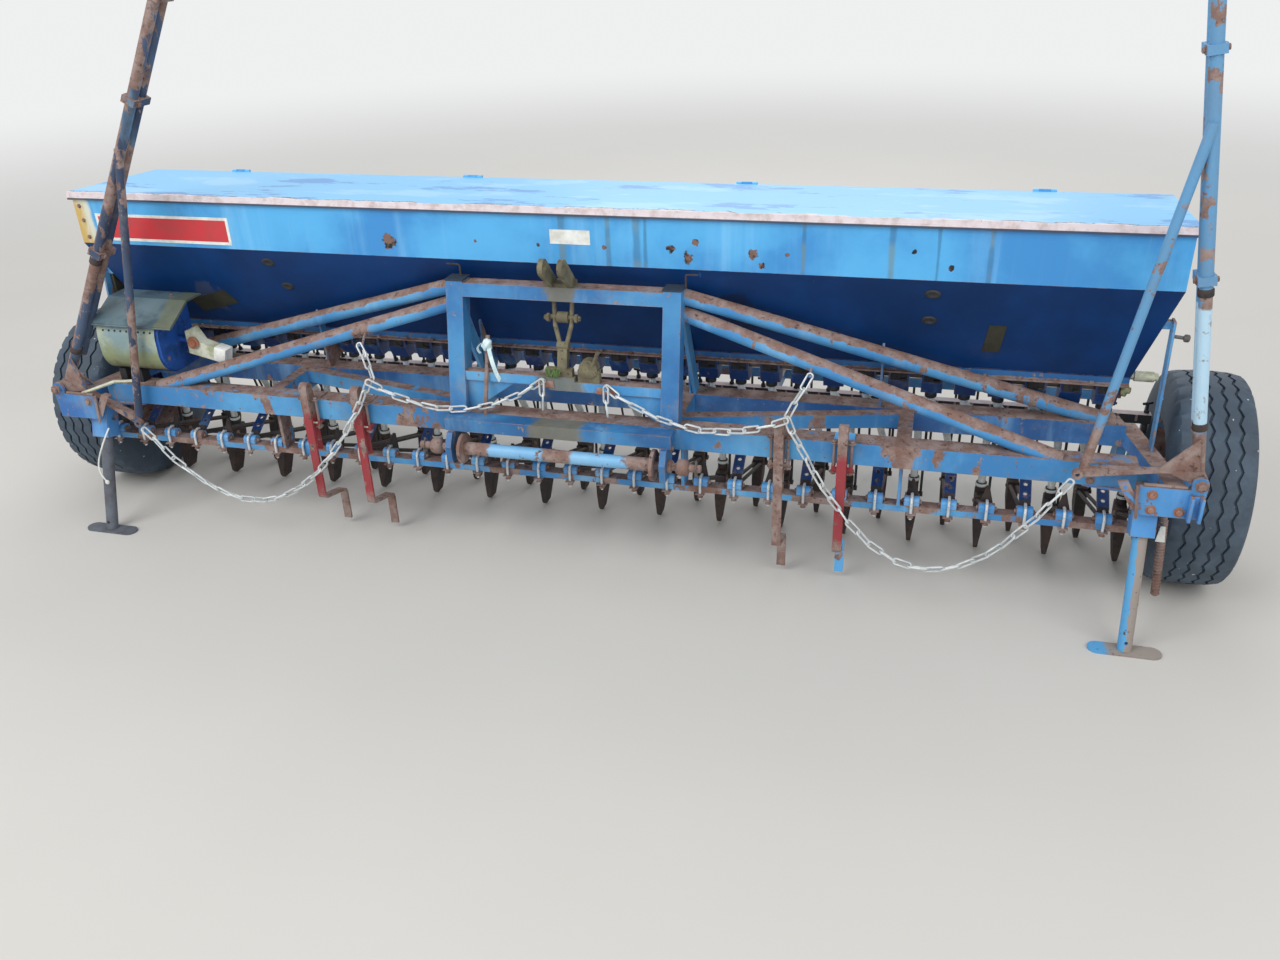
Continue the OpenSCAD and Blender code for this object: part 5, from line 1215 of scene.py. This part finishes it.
def add_coulter_fittings():
    """Hook nuts under the rail, pivot bolts of the clamps and wing nuts on the pressure rods"""
    foot = slab("foot", (0.034, 0.03, 0.004), 0.001)
    moved(foot, Matrix.Translation((0, 0.003, 0.0142)))
    nut = turned("nut", ((0.0115, 0.0), (0.0115, 0.0015), (0.0085, 0.002), (0.0085, 0.0105), (0.007, 0.012)), 6)
    merged("foot", foot, nut)
    places = [Matrix.Translation(at(x, -0.0055, 0.3136)) for x in ROW_X]
    keep(joined("hook_nuts", foot, places), rust)
    pivots = []
    for x in ROW_X:
        for side in (-1, 1):
            pivots.append((at(x + side * 0.026, 0.022, 0.364), (side, 0, 0)))
    bolts("clamp_pivots", pivots, 0.0085, 0.006, rust)
    wing = slab("wing", (0.042, 0.007, 0.009), 0.002)
    for vert in wing.data.vertices:
        vert.co.z += 0.012 * abs(vert.co.x) / 0.021
    places = []
    for number, x in enumerate(ROW_X):
        side = 1 if x > 0 else -1
        foot_y = (0.352 if number % 2 == 0 else 0.502) + 0.06
        share = (0.6015 - 0.195) / (0.566 - 0.195)
        y = foot_y + (0.452 - foot_y) * share
        places.append(Matrix.Translation(at(x + side * 0.03, y, 0.6015)) @ Matrix.Rotation(number * 0.9, 4, "Z"))
    keep(joined("wing_nuts", wing, places), soot)
    socket = turned("socket_rim", ((0.0205, 0.0), (0.0225, 0.003), (0.0225, 0.009), (0.0205, 0.012)), 20)
    places = []
    for number, x in enumerate(ROW_X):
        y = (0.352 if number % 2 == 0 else 0.502) + 0.078
        places.append(Matrix.Translation(at(x, y, 0.242)))
    keep(joined("socket_rims", socket, places), hose_plastic)
    shoe_bolts = []
    for number, x in enumerate(ROW_X):
        y = (0.352 if number % 2 == 0 else 0.502) + 0.05
        for side in (-1, 1):
            shoe_bolts.append((at(x + side * 0.02, y, 0.19), (side, 0, 0)))
    bolts("shoe_bolts", shoe_bolts, 0.0075, 0.005, rust)


def add_harrow_fittings():
    """Clips that hold the harrow tines on their tube"""
    clip = slab("clip", (0.026, 0.007, 0.032), 0.0015)
    head = moved(bolt_model(0.0065, 0.005), facing((0, 0.0035, 0.0), (0, 1, 0)))
    merged("clip", clip, head)
    low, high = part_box("harrow_tines")
    count = 46
    first = low.x + 0.005
    step = (high.x - low.x - 0.01) / (count - 1)
    places = [Matrix.Translation(at(first + number * step, 0.8535, 0.49)) for number in range(count)]
    keep(joined("tine_clips", clip, places), rust)
    joints = []
    for x in (0.6825 + 0.003, 1.622):
        for side in (-1, 1):
            for out in (-1, 1):
                joints.append((at(side * x + out * 0.008, 0.42, 0.5), (out, 0, 0)))
                joints.append((at(side * x + out * 0.008, 0.36, 0.56), (out, 0, 0)))
    bolts("harrow_arm_bolts", joints, 0.01, 0.007, rust)


def add_loosener_fittings():
    """Bolts that clamp the track looseners to the front beam, and a wire loop on each left one"""
    rods = []
    heads = []
    for side in (-1, 1):
        for x in (1.01, 0.796):
            for aside in (-0.029, 0.029):
                place = side * x + aside
                rods.append(rod_model("clamp_rod", (at(place, -0.0765, 0.512), at(place, -0.0765, 0.62)), 0.005, 8))
                heads.append((at(place, -0.0765, 0.613), (0, 0, 1)))
                heads.append((at(place, -0.0765, 0.505), (0, 0, -1)))
    keep(merged("loosener_rods", *rods), rust)
    bolts("loosener_nuts", heads, 0.0095, 0.008, rust)
    loops = []
    for x in (-1.01, -0.796):
        points = (at(x - 0.024, -0.066, 0.522), at(x - 0.024, -0.084, 0.52), at(x + 0.024, -0.084, 0.52),
                  at(x + 0.024, -0.066, 0.522))
        loops.append(rod_model("wire_loop", points, 0.0035, 8))
    keep(merged("loosener_loops", *loops), cream_paint)


# Ends

def add_end_fittings():
    """Straps, pins, forks and bolts on the outer plates"""
    for side, name, tone in ((-1, "left", rust), (1, "right", plate_blue)):
        strap = flat_model("strap", (at(side * 1.885, -0.118, 0.583), at(side * 1.885, -0.144, 0.586),
                                     at(side * 1.9, -0.1465, 0.56), at(side * 1.935, -0.1445, 0.5)),
                           0.03, 0.005, (1, 0, 0.25 * side))
        keep(strap, tone).name = "plate_strap_" + name
        plate_bolts = [(at(side * 1.974, -0.14, 0.552), (0, -1, 0)), (at(side * 1.977, -0.14, 0.5), (0, -1, 0)),
                       (at(side * 2.06, -0.14, 0.5), (0, -1, 0))]
        if side < 0:
            plate_bolts = plate_bolts[:1]
        bolts("plate_bolts_" + name, plate_bolts, 0.011, 0.009, orange_rust if side > 0 else rust)
        rail = rod_model("plate_rail", (at(side * 1.945, -0.137, 0.5845), at(side * 2.07, -0.137, 0.5845)), 0.006, 8)
        keep(rail, rust).name = "plate_rail_" + name
        pin = rod_model("pin", (at(side * 1.925, -0.151, 0.585), at(side * 1.937, -0.151, 0.47)), 0.005, 8)
        keep(pin, rust).name = "plate_pin_" + name
        if side < 0:
            continue
        fork = slab("fork", (0.01, 0.034, 0.085), 0.002)
        other = moved(slab("other", (0.01, 0.034, 0.085), 0.002), Matrix.Translation((0.03, 0, 0)))
        web = moved(slab("web", (0.03, 0.006, 0.08), 0.001), Matrix.Translation((0.015, 0.012, 0)))
        merged("fork", fork, other, web)
        moved(fork, Matrix.Translation(at(side * 2.1 - 0.015, -0.157, 0.523)))
        keep(fork, plate_blue).name = "plate_fork_" + name
    points = (at(-1.915, -0.137, 0.44), at(-1.918, -0.152, 0.425), at(-1.945, -0.168, 0.37),
              at(-1.975, -0.182, 0.3), at(-1.972, -0.19, 0.25), at(-1.95, -0.191, 0.222))
    strap = rod_model("pin_strap", points, 0.0032, 8, True)
    bead = turned("bead", ((0.004, -0.0085), (0.0075, -0.005), (0.0085, 0.0), (0.0075, 0.005), (0.004, 0.0085)), 14)
    moved(bead, Matrix.Translation(at(-1.947, -0.191, 0.217)))
    keep(merged("pin_strap", strap, bead), white_plastic, "chassis", 50)
    ribs = [(0.008, 0.0), (0.011, 0.003)]
    height = 0.006
    while height < 0.29:
        ribs += [(0.0145, height), (0.0145, height + 0.004), (0.011, height + 0.006), (0.011, height + 0.009)]
        height += 0.012
    ribs.append((0.009, 0.4))
    spindle = turned("ribbed_spindle", ribs, 12)
    keep(moved(spindle, facing(at(2.066, -0.045, 0.13), (-0.075, 0, 1))), rust, "chassis", 30)
    tag = slab("tag", (0.03, 0.002, 0.058), 0.0006, (0.5, 1))
    ring = turned("ring", ((0.0075, 0.0), (0.0075, 0.0012), (0.005, 0.0014), (0.0048, 0.0004)), 14)
    moved(ring, facing((0, -0.001, 0.014), (0, -1, 0)))
    keep(moved(merged("white_tag", tag, ring), Matrix.Translation(at(2.043, -0.0605, 0.372))), white_plastic)
    hook = rod_model("tag_wire", (at(2.043, -0.06, 0.398), at(2.041, -0.056, 0.412), at(2.037, -0.05, 0.418)),
                     0.0018, 6)
    keep(hook, bare_steel)
    knob = turned("stay_knob", ((0.006, 0.0), (0.006, 0.03), (0.012, 0.033), (0.013, 0.04), (0.012, 0.047),
                                (0.007, 0.05)), 12)
    keep(moved(knob, facing(at(2.006, 0.17, 0.965), (0.9, -0.3, 0))), bare_steel)
    dial = turned("end_dial", ((0.02, 0.0), (0.024, 0.003), (0.024, 0.014), (0.012, 0.016), (0.011, 0.026)), 16)
    keep(moved(dial, facing(at(1.914, 0.325, 0.712), (0.9, -0.4, 0))), cream_paint)


def add_marker_fittings():
    """Pivot bolts and collars of the markers, in their parked places"""
    for side, name, lean in ((-1, "left", 29.5), (1, "right", 8.6)):
        pivot = at(side * 2.105, -0.078, 0.6)
        body = "marker_" + name
        up = Vector((-side * math.sin(math.radians(lean)), 0, math.cos(math.radians(lean))))
        head = turned("head", ((0.019, 0.0), (0.021, 0.002), (0.021, 0.005), (0.0135, 0.0055), (0.0135, 0.014),
                               (0.011, 0.0165)), 6)
        places = [facing(pivot + Vector((0, -0.0725, 0)), (0, -1, 0)),
                  facing(pivot + Vector((0, 0.066, 0)), (0, 1, 0))]
        keep(joined("pivot_heads", head, places), rust).name = "pivot_heads_" + name
        clamp_bolts = []
        for along in (0.633, 1.263, 1.643):
            for aside in (-1, 1):
                middle = pivot + up * along + Vector((0, 0.002, 0))
                out = Vector((up.z * aside, 0, -up.x * aside))
                clamp_bolts.append((middle + out * 0.025, out))
        bolts("marker_clamp_bolts_" + name, clamp_bolts, 0.009, 0.007, rust, body)
        collar = turned("collar", ((0.0215, 0.0), (0.023, 0.003), (0.023, 0.02), (0.0215, 0.023)), 20)
        places = [facing(pivot + up * along, up) for along in (0.16, 0.585)]
        keep(joined("collars", collar, places), dark_rust, body).name = "marker_collars_" + name


def add_stand_fittings():
    """Locking pins through the stands' sleeves"""
    for side, name in ((-1, "left"), (1, "right")):
        z = 0.455
        y = -0.209 + z * 0.2773
        pin = rod_model("lock_pin", (at(side * 1.927, y, z), at(side * 2.02, y, z)), 0.0055, 10)
        ring = []
        for number in range(13):
            angle = 2 * math.pi * number / 12
            ring.append(at(side * 2.024, y + 0.014 * math.sin(angle), z - 0.012 + 0.014 * math.cos(angle)))
        loop = rod_model("lock_ring", ring, 0.002, 6)
        keep(merged("lock_pin", pin, loop), bare_steel).name = "lock_pin_" + name


def add_frame_bolts():
    places = []
    for side in (-1, 1):
        for x in (1.205, 0.437):
            places.append((at(side * x, 0.003, 0.519), (0, 0, -1)))
        for z in (0.545, 0.585):
            places.append((at(side * 1.8, -0.06, z), (0, -1, 0)))
    bolts("frame_bolts", places, 0.0095, 0.007, rust)
    hinge_bolts = []
    for x in (-1.6, -0.55, 0.55, 1.6):
        for aside in (-0.012, 0.012):
            hinge_bolts.append((at(x + aside, 0.63, 1.296), (0, 1, 0)))
    bolts("hinge_bolts", hinge_bolts, 0.005, 0.004, rust)


add_camera()
add_world()
add_lamps()
add_floor()
add_tyre(-1)
add_tyre(1)
add_chains()
add_raised_front()
add_hopper_fittings()
add_metering_fittings()
add_lid_fittings()
add_gearbox_fittings()
add_headstock_fittings()
add_tape()
add_moss()
add_link_ends()
add_coulter_fittings()
add_harrow_fittings()
add_loosener_fittings()
add_end_fittings()
add_marker_fittings()
add_stand_fittings()
add_frame_bolts()

bpy.context.scene.view_settings.view_transform = "Standard"
